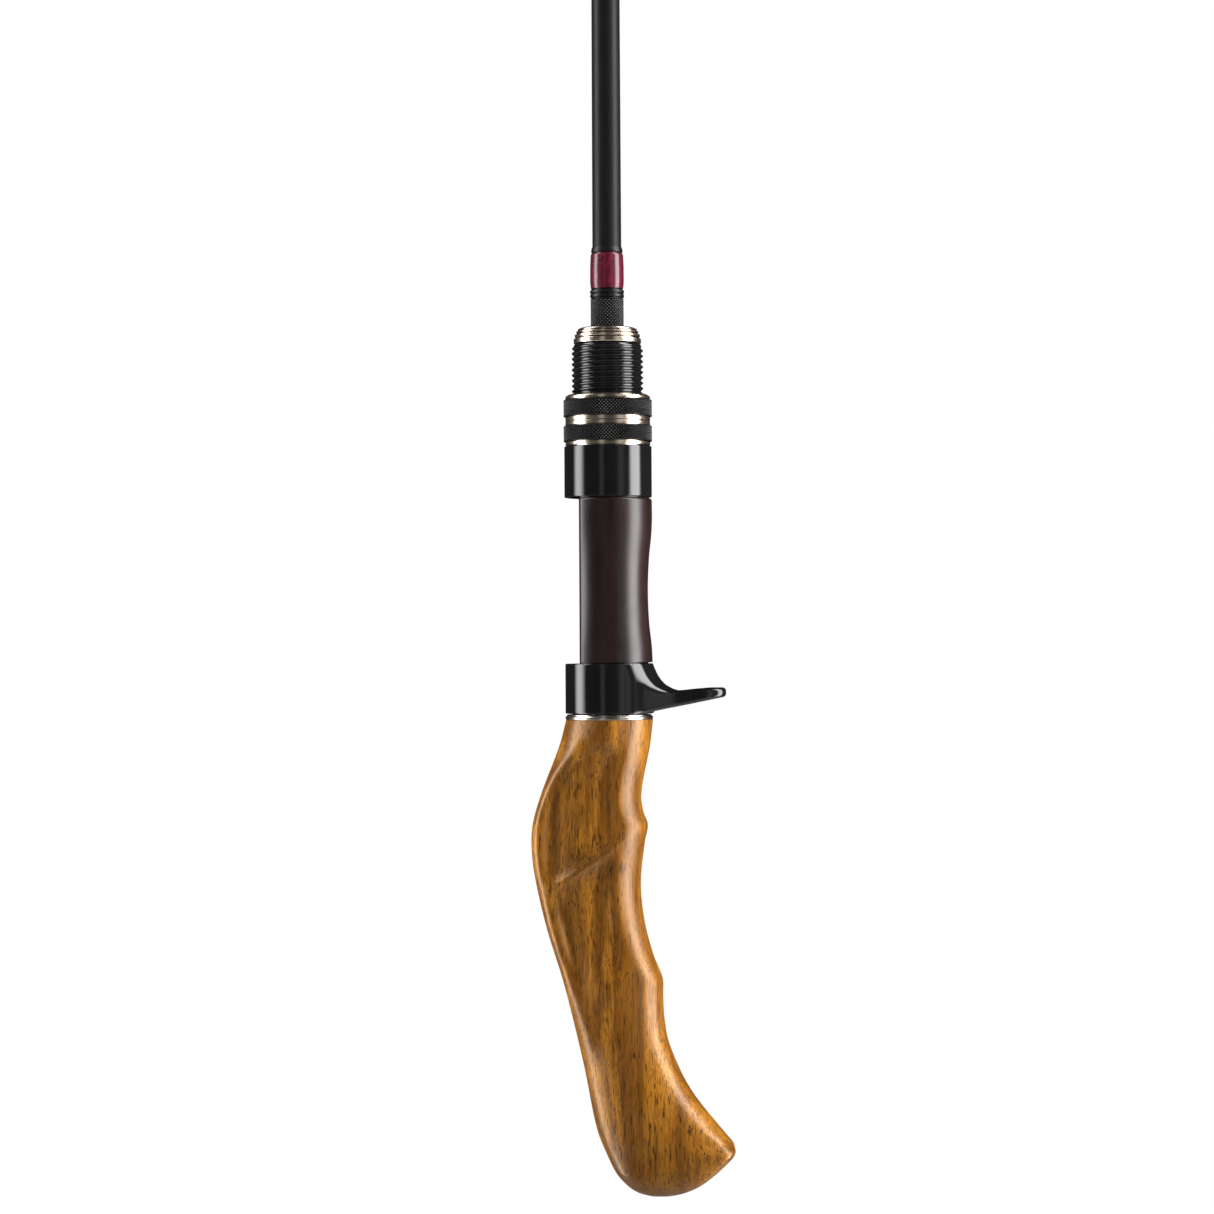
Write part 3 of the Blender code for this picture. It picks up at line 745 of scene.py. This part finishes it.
def makeGrip():
    curve = {key: through(value) for key, value in gripShape.items() if isinstance(value, list)}
    low, dome = span("grip_wood")[0], gripShape["dome"]
    levels = np.concatenate([np.linspace(gripShape["top"], dome, 210),
                             low + (dome - low) * (1 - np.sin(np.linspace(0, math.pi / 2, 42)[1:]))])
    rows = [gripRow(z, curve) for z in levels]
    for row in rows:
        row[:, 2] += gripShape["buttLift"] * np.maximum(gripShape["buttStart"] - row[:, 2], 0.0)
    place(ringPiece("gripWood", rows[::-1], False, sharp=60.0), "wood", "grip_wood")


seatShape = {"waist": [(16.7, 12.45), (21.5, 12.2), (27, 11.6), (33, 11.25), (39, 11.2), (47, 11.6),
                       (52.6, 12.2), (57, 12.45), (62.2, 12.45)],
             "body": (16.7, 63.4), "radius": 12.45, "foot": [(12.2, 0.0), (12.38, 0.1)],
             "bed": 8.3, "edge": 2.2, "corner": 0.8, "neck": 11.2, "core": 6.6}


def bedRow(radius, z, arcs=(96, 14, 14)):
    # a circle with its reel side cut flat, the two edges rounded
    bed, edge = seatShape["bed"], min(seatShape["edge"], radius * 0.25)
    reach = math.sqrt(max((radius - edge) ** 2 - (bed - edge) ** 2, 0.01))
    lean = math.atan2(reach, bed - edge)
    big = np.linspace(-(math.pi - lean), math.pi - lean, arcs[0])
    points = [np.stack([radius * np.cos(big), radius * np.sin(big)], axis=1)]
    small = np.linspace(math.pi - lean, math.pi, arcs[1])[1:]
    points.append(np.stack([edge - bed + edge * np.cos(small), reach + edge * np.sin(small)], axis=1))
    flat = np.linspace(reach, -reach, arcs[2])[1:]
    points.append(np.stack([np.full(len(flat), -bed), flat], axis=1))
    small = np.linspace(math.pi, math.pi + lean, arcs[1])[1:-1]
    points.append(np.stack([edge - bed + edge * np.cos(small), edge * np.sin(small) - reach], axis=1))
    flatRow = np.concatenate(points)
    return np.column_stack([flatRow, np.full(len(flatRow), z)])


def makeSeatBody():
    waist = through(seatShape["waist"])
    low, high, _ = span("seat_body")
    (bottom, top), corner = seatShape["body"], seatShape["corner"]
    neck, core = seatShape["neck"], seatShape["core"]
    rows = [bedRow(neck, low), bedRow(neck, bottom)]
    rows += [bedRow(radius, bottom + rise) for radius, rise in seatShape["foot"]]
    rows += [bedRow(float(waist(z)), z) for z in np.linspace(bottom + 0.3, top - corner, 60)]
    for angle in np.linspace(0, math.pi / 2, 7)[1:]:
        rows.append(bedRow(seatShape["radius"] - corner * (1 - math.cos(angle)),
                           top - corner * (1 - math.sin(angle))))
    rows += [bedRow(neck, top), bedRow(neck, high)]
    # the bore's rows start at the same side as the others
    cols = len(rows[0])
    bore = np.roll(np.stack([circleRow(core, z, cols) for z in (high, low)]), cols // 2, axis=1)
    first = np.argmin(np.linalg.norm(bore[0][:, :2] / core - rows[0][0][:2] / neck, axis=1))
    rows = np.concatenate([np.stack(rows), np.roll(bore, -first, axis=1)])
    place(ringPiece("seatBody", rows), "seat", "seat_body")


# the blade's outlines: upper edge (x, z), lower edge (x, z) and half width (x, y)
triggerShape = {
    "front": [(12.35, 16.8), (12.7, 15.8), (13.28, 14.4), (13.85, 13.2), (14.4, 12.3), (15.0, 11.5),
              (16.1, 10.4), (17.3, 9.65), (18.4, 9.1), (19.6, 8.75), (21.3, 8.6), (23.5, 8.7),
              (26.4, 9.0), (29, 9.2), (31.5, 9.4), (60, 9.5)],
    "under": [(0, 1.9), (9, 2.2), (12.7, 2.9), (15.0, 3.35), (21.8, 4.62), (28.7, 6.0), (34, 7.0)],
    "plan": [(0, 12.0), (5.3, 11.27), (8, 10.15), (10.5, 9.25), (13, 8.45), (16, 7.6), (19, 6.9),
             (23, 6.4), (27.5, 6.1), (30.5, 5.2), (32.3, 3.9), (33.2, 2.2), (33.5, 0.4)],
    "root": 4.6, "tip": 33.35, "reach": 33.8, "edge": 1.2, "tipEdge": 1.1, "rim": 0.35,
    "wall": 0.9, "floor": 4.8, "bore": 4.85, "cell": 0.33,
}


def makeTriggerHood():
    # a hood with a pocket for the reel's foot, blended into the trigger's blade
    shape = triggerShape
    low, high, radius = span("trigger_hood")
    front, under, plan = (through(shape[key]) for key in ("front", "under", "plan"))

    def field(p):
        x, y, z = p[:, 0], p[:, 1], p[:, 2]
        r = np.hypot(x, y)
        ring = softMax(r - radius, np.abs(z - (low + high) / 2) - (high - low) / 2, shape["rim"])
        ahead = np.maximum(x, 0.0) / np.sqrt(np.maximum(1 - (y / radius) ** 2, 0.08))
        top = z - front(np.maximum(ahead, seatShape["radius"]))
        side = np.abs(y) - plan(x)
        blade = softMax(top * 0.8, under(x) - z, shape["edge"])
        blade = softMax(blade, side, shape["edge"] * 1.2)
        blade = np.maximum(softMax(blade, x - shape["tip"], shape["tipEdge"]), shape["root"] - x)
        flare = smoothStep(3.0, 8.0, x) * smoothStep(high, high - 4.0, z)
        solid = softMin(ring, blade, 0.3 + 1.0 * flare)
        solid = np.maximum(solid, np.maximum(z - high, low - z))
        shell = softMin(radius - shape["wall"] - r, z - shape["floor"], 0.3)
        return softMax(softMax(solid, shell, 0.12), shape["bore"] - r, 0.12)

    side = radius + 0.2
    piece = blendedPiece("triggerHood", field, (-side, -side, low - 0.2),
                         (shape["reach"], side, high + 0.2), shape["cell"], sharp=40.0)
    place(piece, "gloss", "trigger_hood")


movableHoodShape = {"wall": 0.9, "flange": 10.9, "ledge": 75.5}


def makeMovableHood():
    low, high, radius = span("movable_hood")
    inner = radius - movableHoodShape["wall"]
    flange, ledge = movableHoodShape["flange"], movableHoodShape["ledge"]
    turnedPiece("movableHood", "movable_hood", "gloss", [
        (inner, low, 0.15), (radius, low, 0.3), (radius, high, 0.3), (flange, high, 0.1),
        (flange, ledge, 0.1), (inner, ledge, 0.1)])


gripRingShape = {"bore": 4.85, "band": 0.85, "step": 0.4}


def makeGripRing():
    high, radius = span("grip_ring")[1:]
    low = gripShape["top"] + 0.1
    bore, neck = gripRingShape["bore"], radius - gripRingShape["step"]
    band = low + gripRingShape["band"]
    turnedPiece("gripRing", "grip_ring", "silver", [
        (bore, low), (radius, low, 0.2), (radius, band, 0.25), (neck, band + 0.15, 0.1),
        (neck, high, 0.1), (bore, high)])


barrelShape = {"depth": 0.62, "bore": 6.6, "pitch": 1.54, "crown": 1.25, "sides": 120, "steps": 14}


def makeThreadBarrel():
    low, high, crest = span("thread_barrel")
    root, bore, pitch = crest - barrelShape["depth"], barrelShape["bore"], barrelShape["pitch"]
    sides, steps = barrelShape["sides"], barrelShape["steps"]
    start, end = low + 2.0, high - 0.5
    levels = np.concatenate([[low, low + 0.25], np.arange(low + 0.6, high - 0.3, pitch / steps),
                             [high - 0.25, high]])
    rows = [circleRow(bore, low, sides)]
    for z in levels:
        phase = (z / pitch - np.arange(sides) / sides) % 1.0
        rib = (0.5 - 0.5 * np.cos(phase * math.tau)) ** barrelShape["crown"]
        fade = smoothStep(start - 1.0, start + 0.5, z) * smoothStep(end + 0.3, end - 0.8, z)
        bevel = 0.25 if z in (low, high) else 0.0
        rows.append(circleRow(root + (crest - root) * rib * fade - bevel, z, sides))
    rows.append(circleRow(bore, high, sides))
    place(ringPiece("threadBarrel", rows, sharp=60.0), "gloss", "thread_barrel")


# tiers: bottom and top above the cap's foot, step in from the full radius, groove depth
endCapShape = {"bore": 4.6, "grooveRise": 0.25, "lip": (0.08, 0.12),
               "tiers": [(0.0, 1.25, 0.0, 0.6), (1.8, 2.45, 0.3, 0.75), (2.95, 3.4, 0.75, 0.8)],
               "crown": [(1.15, 3.75, 0.1), (1.25, 4.1, 0.25)], "rim": (2.0, 0.25)}


def makeEndCap():
    low, high, radius = span("seat_end_cap")
    bore, rise, (inset, lift) = endCapShape["bore"], endCapShape["grooveRise"], endCapShape["lip"]
    profile = [(bore, low)]
    for bottom, top, step, groove in endCapShape["tiers"]:
        r = radius - step
        profile += [(r - inset, low + bottom), (r, low + bottom + lift, 0.05), (r, low + top, 0.08),
                    (r - groove, low + top + rise)]
    profile += [(radius - step, low + up, fillet) for step, up, fillet in endCapShape["crown"]]
    profile += [(radius - endCapShape["rim"][0], high, endCapShape["rim"][1]), (bore, high)]
    piece = turnedPiece("seatEndCap", "seat_end_cap", "gold", profile)
    # the grooves between the tiers get painted shade
    markGrooveShade(piece, [low + tier[1] + rise for tier in endCapShape["tiers"]])


nutShape = {"face": 78.5, "bore": 10.5, "neck": 10.9, "lip": 11.3, "lipHeight": 0.7, "bed": 0.8,
            "groove": 0.16, "bedGap": 0.18, "chamfer": (0.75, 0.55)}


def makeLockNut():
    # the metal sleeve, with a fine groove round its middle band
    low, high, radius = span("nut_sleeve")
    face, neck, lip, bore = (nutShape[key] for key in ("face", "neck", "lip", "bore"))
    lowerBand, upperBand = span("nut_knurl_lower"), span("nut_knurl_upper")
    core, groove, lipTop = radius - nutShape["bed"], nutShape["groove"], low + nutShape["lipHeight"]
    centre, gap, (inward, down) = (lowerBand[1] + upperBand[0]) / 2, nutShape["bedGap"], nutShape["chamfer"]
    profile = [(bore, low), (lip, low, 0.1), (lip, lipTop, 0.1), (neck, lipTop), (neck, face),
               (radius, face, 0.12)]
    for bottom, top, _ in (lowerBand, upperBand):
        profile += [(radius, bottom - gap, 0.12), (core, bottom - gap), (core, top + gap),
                    (radius, top + gap, 0.12)]
        if top < centre:
            profile += [(radius, centre - groove, 0.03), (radius - groove, centre),
                        (radius, centre + groove, 0.03)]
    profile += [(radius, high - down, 0.15), (radius - inward, high, 0.15), (bore, high, 0.1)]
    piece = turnedPiece("nutSleeve", "nut_sleeve", "gold", profile, sharp=30.0)
    # the middle groove gets painted shade
    markGrooveShade(piece, [centre])


# cells round the ring, mesh points to a cell, and the knurl's depth between two plain rims
nutKnurl = {"cells": 80, "samples": 6, "depth": 0.42, "bore": 11.6, "rim": 0.3}
knurls = {"nutKnurlLower": {"node": "nut_knurl_lower", **nutKnurl},
          "nutKnurlUpper": {"node": "nut_knurl_upper", **nutKnurl},
          "foreCollar": {"node": "fore_collar", "cells": 30, "samples": 8, "depth": 0.28,
                         "bore": 4.36, "rim": 0.3}}


def makeKnurls():
    for name, knurl in knurls.items():
        makeKnurl(name, **knurl)


def makeKnurl(name, node, cells, samples, depth, bore, rim):
    # a ring with a diamond knurl between two plain rims
    low, high, radius = span(node)
    cellHigh = math.tau * radius / cells
    sides = cells * samples
    count = int(round((high - low - 2 * rim) / cellHigh * samples)) + 1
    turn = np.arange(sides) / samples
    inset, edge, lift, gap = 0.02, 0.14, 0.12, 0.08
    foot = [(bore, low, 0.3), (radius - edge, low, 0.3), (radius - inset, low + lift, 0.6),
            (radius - inset, low + rim - gap, 0.6)]
    rows, relief = [], []
    for r, z, height in foot:
        rows.append(circleRow(r, z, sides))
        relief.append(np.full(sides, height))
    for z in np.linspace(low + rim, high - rim, count):
        along = (z - low) / cellHigh
        peaks = [1 - np.abs(2 * ((turn + slant) % 1.0) - 1) for slant in (along, -along)]
        peak = np.minimum(*peaks)
        rows.append(circleRow(radius - depth + depth * np.clip(peak * 1.3, 0.0, 1.0), z, sides))
        relief.append(peak)
    for r, z, height in reversed(foot):
        rows.append(circleRow(r, low + high - z, sides))
        relief.append(np.full(sides, height))
    piece = ringPiece(name, rows, sharp=50.0)
    markRelief(piece, np.concatenate(relief))
    place(piece, "knurl", node)


def markRelief(piece, values):
    # the value of each vertex that knurled and metal finishes read
    layer = piece.data.attributes.new("relief", "FLOAT", "POINT")
    layer.data.foreach_set("value", np.asarray(values, dtype=np.float32))


def markGrooveShade(piece, levels):
    # the vertices of a turned piece that lie at these heights are its grooves, where shade is painted
    height = np.array([v.co.z for v in piece.data.vertices]) / mm
    markRelief(piece, np.abs(height[:, None] - np.array(levels)[None]).min(axis=1) < 0.03)


beadShape = {"bore": 4.35, "round": 0.22}


def makeBeads():
    bore, edge = beadShape["bore"], beadShape["round"]
    for name, node in (("beadRingLower", "bead_ring_lower"), ("beadRingUpper", "bead_ring_upper")):
        low, high, radius = span(node)
        turnedPiece(name, node, "satin", [(bore, low), (radius, low, edge), (radius, high, edge),
                                          (bore, high)], sides=96)


handleWindingShape = {"bore": 4.36, "foot": 0.2, "shoulder": 1.6, "fall": 3.4, "end": 4.62,
                      "taperBore": 4.30}


def makeHandleWindings():
    shape = handleWindingShape
    bore, inner = shape["bore"], shape["taperBore"]
    low, high, radius = span("handle_winding")
    turnedPiece("handleWinding", "handle_winding", "red", [
        (bore, low), (radius - shape["foot"], low, 0.05), (radius, low + shape["shoulder"], 1.4),
        (radius - 0.02, high - shape["fall"], 1.8), (shape["end"], high - 0.4, 0.4),
        (bore, high, 0.1)], sides=96, sharp=60.0)
    low, high, radius = span("handle_epoxy_taper")
    turnedPiece("epoxyTaper", "handle_epoxy_taper", "satin", [
        (inner, low), (radius, low, 0.05), (radius - 0.05, low + 0.7, 0.4),
        (bore, high - 0.3, 0.3), (inner, high)], sides=96, sharp=60.0)


# sides and levels of a section, and the depth and the drawn ends of the windings on them
blankShape = {"sections": 4, "sides": 64, "levels": 40, "thread": 0.3, "ends": 0.6, "tipEnds": 0.5}


def makeBlanks():
    # each section tapers evenly; all but the tip section end in a socket for the next one
    sides, last = blankShape["sides"], blankShape["sections"]
    for number in range(1, last + 1):
        node = f"blank_{number}"
        points = np.array([v.co[:] for v in frame["nodes"][node].data.vertices]) / mm
        radii = np.hypot(points[:, 0], points[:, 1])
        levels = sorted({round(float(z), 3) for z in points[:, 2]})
        low, high = levels[0], levels[-1]
        atLow, atHigh = (radii[np.abs(points[:, 2] - z) < 0.01] for z in (low, high))
        rows = [circleRow(float(np.interp(z, [low, high], [atLow.max(), atHigh.max()])), z, sides)
                for z in np.linspace(low, high, blankShape["levels"])]
        if number < last:
            inner, socket = float(atHigh.min()), levels[-2]
            rows += [circleRow(inner, high, sides), circleRow(inner, socket, sides),
                     circleRow(float(atLow.min()), low, sides)]
        place(ringPiece(f"blankSection{number}", rows, number < last), "blank", node)
    for number in range(1, last):
        makeWindingRing(f"ferruleWinding{number}", f"ferrule_winding_{number}", blankShape["ends"])
    makeWindingRing("tipWinding", "tip_winding", blankShape["tipEnds"])


def makeWindingRing(name, node, ends):
    # a thread winding under its coating, its ends drawn down to the blank
    low, high, radius = span(node)
    bore, drawn = radius - blankShape["thread"], radius - ends * 0.35
    turnedPiece(name, node, "red", [
        (bore, low), (drawn, low, 0.08), (radius, low + ends, 0.35), (radius, high - ends, 0.35),
        (drawn, high, 0.08), (bore, high)], sides=96, sharp=50.0)


# the wire hoop that holds a ceramic ring, the ring's share of its radius, and the hoop's legs
hoopShape = {"wire": 0.3, "tall": 0.78, "wall": 0.52, "reach": 1.2, "ceramicShare": 0.27, "leg": 0.42}


def rod(p, a, b, radius):
    # distance to a rod with round ends
    a, b = np.array(a, dtype=float), np.array(b, dtype=float)
    way = b - a
    t = np.clip(((p - a) @ way) / (way @ way), 0.0, 1.0)
    return np.linalg.norm(p - a - t[:, None] * way, axis=1) - radius


def bentLeg(p, foot, bend, rim, share=1.0):
    # a wire leg in two runs, the second one thinner by its share
    return softMin(rod(p, foot, bend, hoopShape["leg"]),
                   rod(p, bend, rim, hoopShape["leg"] * share), 0.2)


def hoop(p, centreX, middle, outer):
    # distance to the hoop, which is oval in section
    wire, tall = hoopShape["wire"], hoopShape["tall"]
    across = (np.hypot(p[:, 0] - centreX, p[:, 1]) - outer + wire) / wire
    return (np.sqrt(across ** 2 + ((p[:, 2] - middle) / tall) ** 2) - 1.0) * wire


def cleared(solid, p, centreX, middle, outer):
    # opens the hoop's middle for its ceramic ring
    inside = outer - hoopShape["wall"] - np.hypot(p[:, 0] - centreX, p[:, 1])
    near = np.abs(p[:, 2] - middle) < hoopShape["reach"]
    return softMax(solid, np.where(near, inside, -1.0), 0.1)


def makeCeramicRing(name, node):
    low, high, outer = span(node)
    corner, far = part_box(node)
    wall = hoopShape["ceramicShare"] * outer
    profile = []
    for angle in np.linspace(0, math.tau, 17)[:-1]:
        across = math.copysign(abs(math.cos(angle)) ** 0.8, math.cos(angle))
        profile.append((outer - wall / 2 * (1 - across),
                        (low + high) / 2 + (high - low) / 2 * math.sin(angle)))
    turnedPiece(name, node, "ceramic", profile, 72, (corner[0] + far[0]) / 2 / mm, 60.0)


# a guide's foot, and how its winding swells over it: coating thickness and height share
guideShape = {"footStart": 2.5, "footLength": 13.0, "footInset": 0.18, "footWidth": 1.6,
              "footThick": (0.30, 0.16), "coating": 0.57, "lift": 0.99, "cells": {1: 0.2, 2: 0.2}}


def makeGuideFrame(number, feet):
    # hoop, a pair of bent legs to each foot, and feet that thin out towards their tips
    node = f"guide_{number}_frame"
    corner, far = np.array(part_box(node)) / mm
    outer = span(node)[2]
    middle = sum(span(f"guide_{number}_ring")[:2]) / 2
    centreX, footX = corner[0] + outer, far[0] - guideShape["footInset"]
    start, length = guideShape["footStart"], guideShape["footLength"]
    wide = min(guideShape["footWidth"], 0.5 * outer)
    thick, tipThick = guideShape["footThick"]

    def field(p):
        x, y, z = p[:, 0], p[:, 1], p[:, 2]
        solid = hoop(p, centreX, middle, outer)
        for way in (1, -1)[:feet]:
            along = (z - middle) * way - start
            t = np.clip(along / length, 0.0, 1.0)
            foot = softMax(np.abs(x - footX) - thick + (thick - tipThick) * t,
                           np.abs(y) - wide / 2 * (1.0 - 0.45 * t ** 2), 0.2)
            foot = softMax(foot, np.maximum(-along, along - length), 0.3)
            solid = softMin(solid, foot, 0.25)
            for side in (1, -1):
                root = (footX, side * 0.22 * wide, middle + way * (start + 1.6))
                bend = (footX - 0.35 * (footX - centreX - outer), side * 0.42 * wide,
                        middle + way * start * 0.95)
                rim = (centreX + 0.35 * outer, side * 0.88 * outer, middle + way * 0.15)
                solid = softMin(solid, bentLeg(p, root, bend, rim, 0.9), 0.35)
        return cleared(solid, p, centreX, middle, outer)

    piece = blendedPiece(f"guideFrame{number}", field, corner, far,
                         guideShape["cells"].get(number, 0.15))
    place(piece, "smoke", node)


def makeFootWinding(name, node, way):
    # thread over a guide's foot under a lens of clear coating, thicker on the foot's side
    corner, far = np.array(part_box(node)) / mm
    outer = (far[1] - corner[1]) / 2
    inner = outer - guideShape["coating"]
    lift = -corner[0] - outer
    low, high, sides = corner[2], far[2], 64
    off = np.abs(np.arange(sides) * math.tau / sides - math.pi)
    swell = smoothStep(math.radians(75), math.radians(18), off)
    rows = []
    for z in np.linspace(low, high, 34):
        t = (z - low) / (high - low) if way > 0 else (high - z) / (high - low)
        edge = min(z - low, high - z)
        body = inner + (outer - inner) * float(smoothStep(-0.6, 1.3, edge))
        rise = lift * guideShape["lift"] * float(smoothStep(1.0, 0.62, t) * smoothStep(-0.8, 0.8, edge))
        rows.append(circleRow(body + min(rise, lift) * swell, z, sides))
    rows += [circleRow(inner - 0.03, z, sides) for z in (high, low)]
    place(ringPiece(name, rows, sharp=60.0), "black", node)


def makeGuides():
    for number in range(1, 8):
        feet = 2 if f"guide_{number}_winding_lower" in frame["nodes"] else 1
        makeGuideFrame(number, feet)
        makeCeramicRing(f"guideRing{number}", f"guide_{number}_ring")
        makeFootWinding(f"guideWindingUpper{number}", f"guide_{number}_winding_upper", 1)
        if feet == 2:
            makeFootWinding(f"guideWindingLower{number}", f"guide_{number}_winding_lower", -1)


tipShape = {"bore": 0.78, "sleeve": 0.46, "sleeveLow": 14.0, "sleeveHigh": 4.6, "hoop": 0.55,
            "foot": (-0.75, 0.75, -3.6), "bend": (-1.35, 1.1, -0.4), "cell": 0.15}


def makeTipTop():
    # a sleeve over the blank's tip, a hoop, and two legs between them
    node = "tip_top_frame"
    corner, far = np.array(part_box(node)) / mm
    ringLow, ringHigh, ringOuter = span("tip_top_ring")
    outer = ringOuter + tipShape["hoop"]
    centreX, middle = corner[0] + outer, (ringLow + ringHigh) / 2
    low, high = far[2] - tipShape["sleeveLow"], far[2] - tipShape["sleeveHigh"]

    def field(p):
        z, r = p[:, 2], np.hypot(p[:, 0], p[:, 1])
        sleeve = softMax(r - tipShape["bore"] - tipShape["sleeve"],
                         np.maximum(low - z, z - high), 0.3)
        solid = softMin(sleeve, hoop(p, centreX, middle, outer), 0.1)
        for side in (1, -1):
            foot, bend = ((x, side * y, high + z) for x, y, z in (tipShape["foot"], tipShape["bend"]))
            reach = outer - hoopShape["wire"]
            rim = (centreX + 0.75 * reach, side * 0.6 * reach, middle - 0.3)
            solid = softMin(solid, bentLeg(p, foot, bend, rim), 0.3)
        solid = softMax(solid, np.where(z < high - 0.8, tipShape["bore"] - r, -1.0), 0.05)
        return cleared(solid, p, centreX, middle, outer)

    piece = blendedPiece("tipTopFrame", field, corner, far, tipShape["cell"])
    place(piece, "smoke", node)
    makeCeramicRing("tipTopRing", "tip_top_ring")


def paintArbors():
    # the two hidden arbors keep their own solids
    for node in ("seat_arbor_lower", "seat_arbor_upper"):
        materials = frame["nodes"][node].data.materials
        materials.clear()
        materials.append(finishes["foam"])


stages = {"camera": makeCamera, "studio": makeStudio, "soft boxes": makeSoftBoxes, "grip": makeGrip,
          "seat body": makeSeatBody, "trigger hood": makeTriggerHood, "movable hood": makeMovableHood,
          "grip ring": makeGripRing, "thread barrel": makeThreadBarrel, "end cap": makeEndCap,
          "lock nut": makeLockNut, "knurls": makeKnurls, "beads": makeBeads,
          "handle windings": makeHandleWindings, "blanks": makeBlanks, "guides": makeGuides,
          "tip top": makeTipTop, "arbors": paintArbors}
for label, make in stages.items():
    make()
    print("made", label)
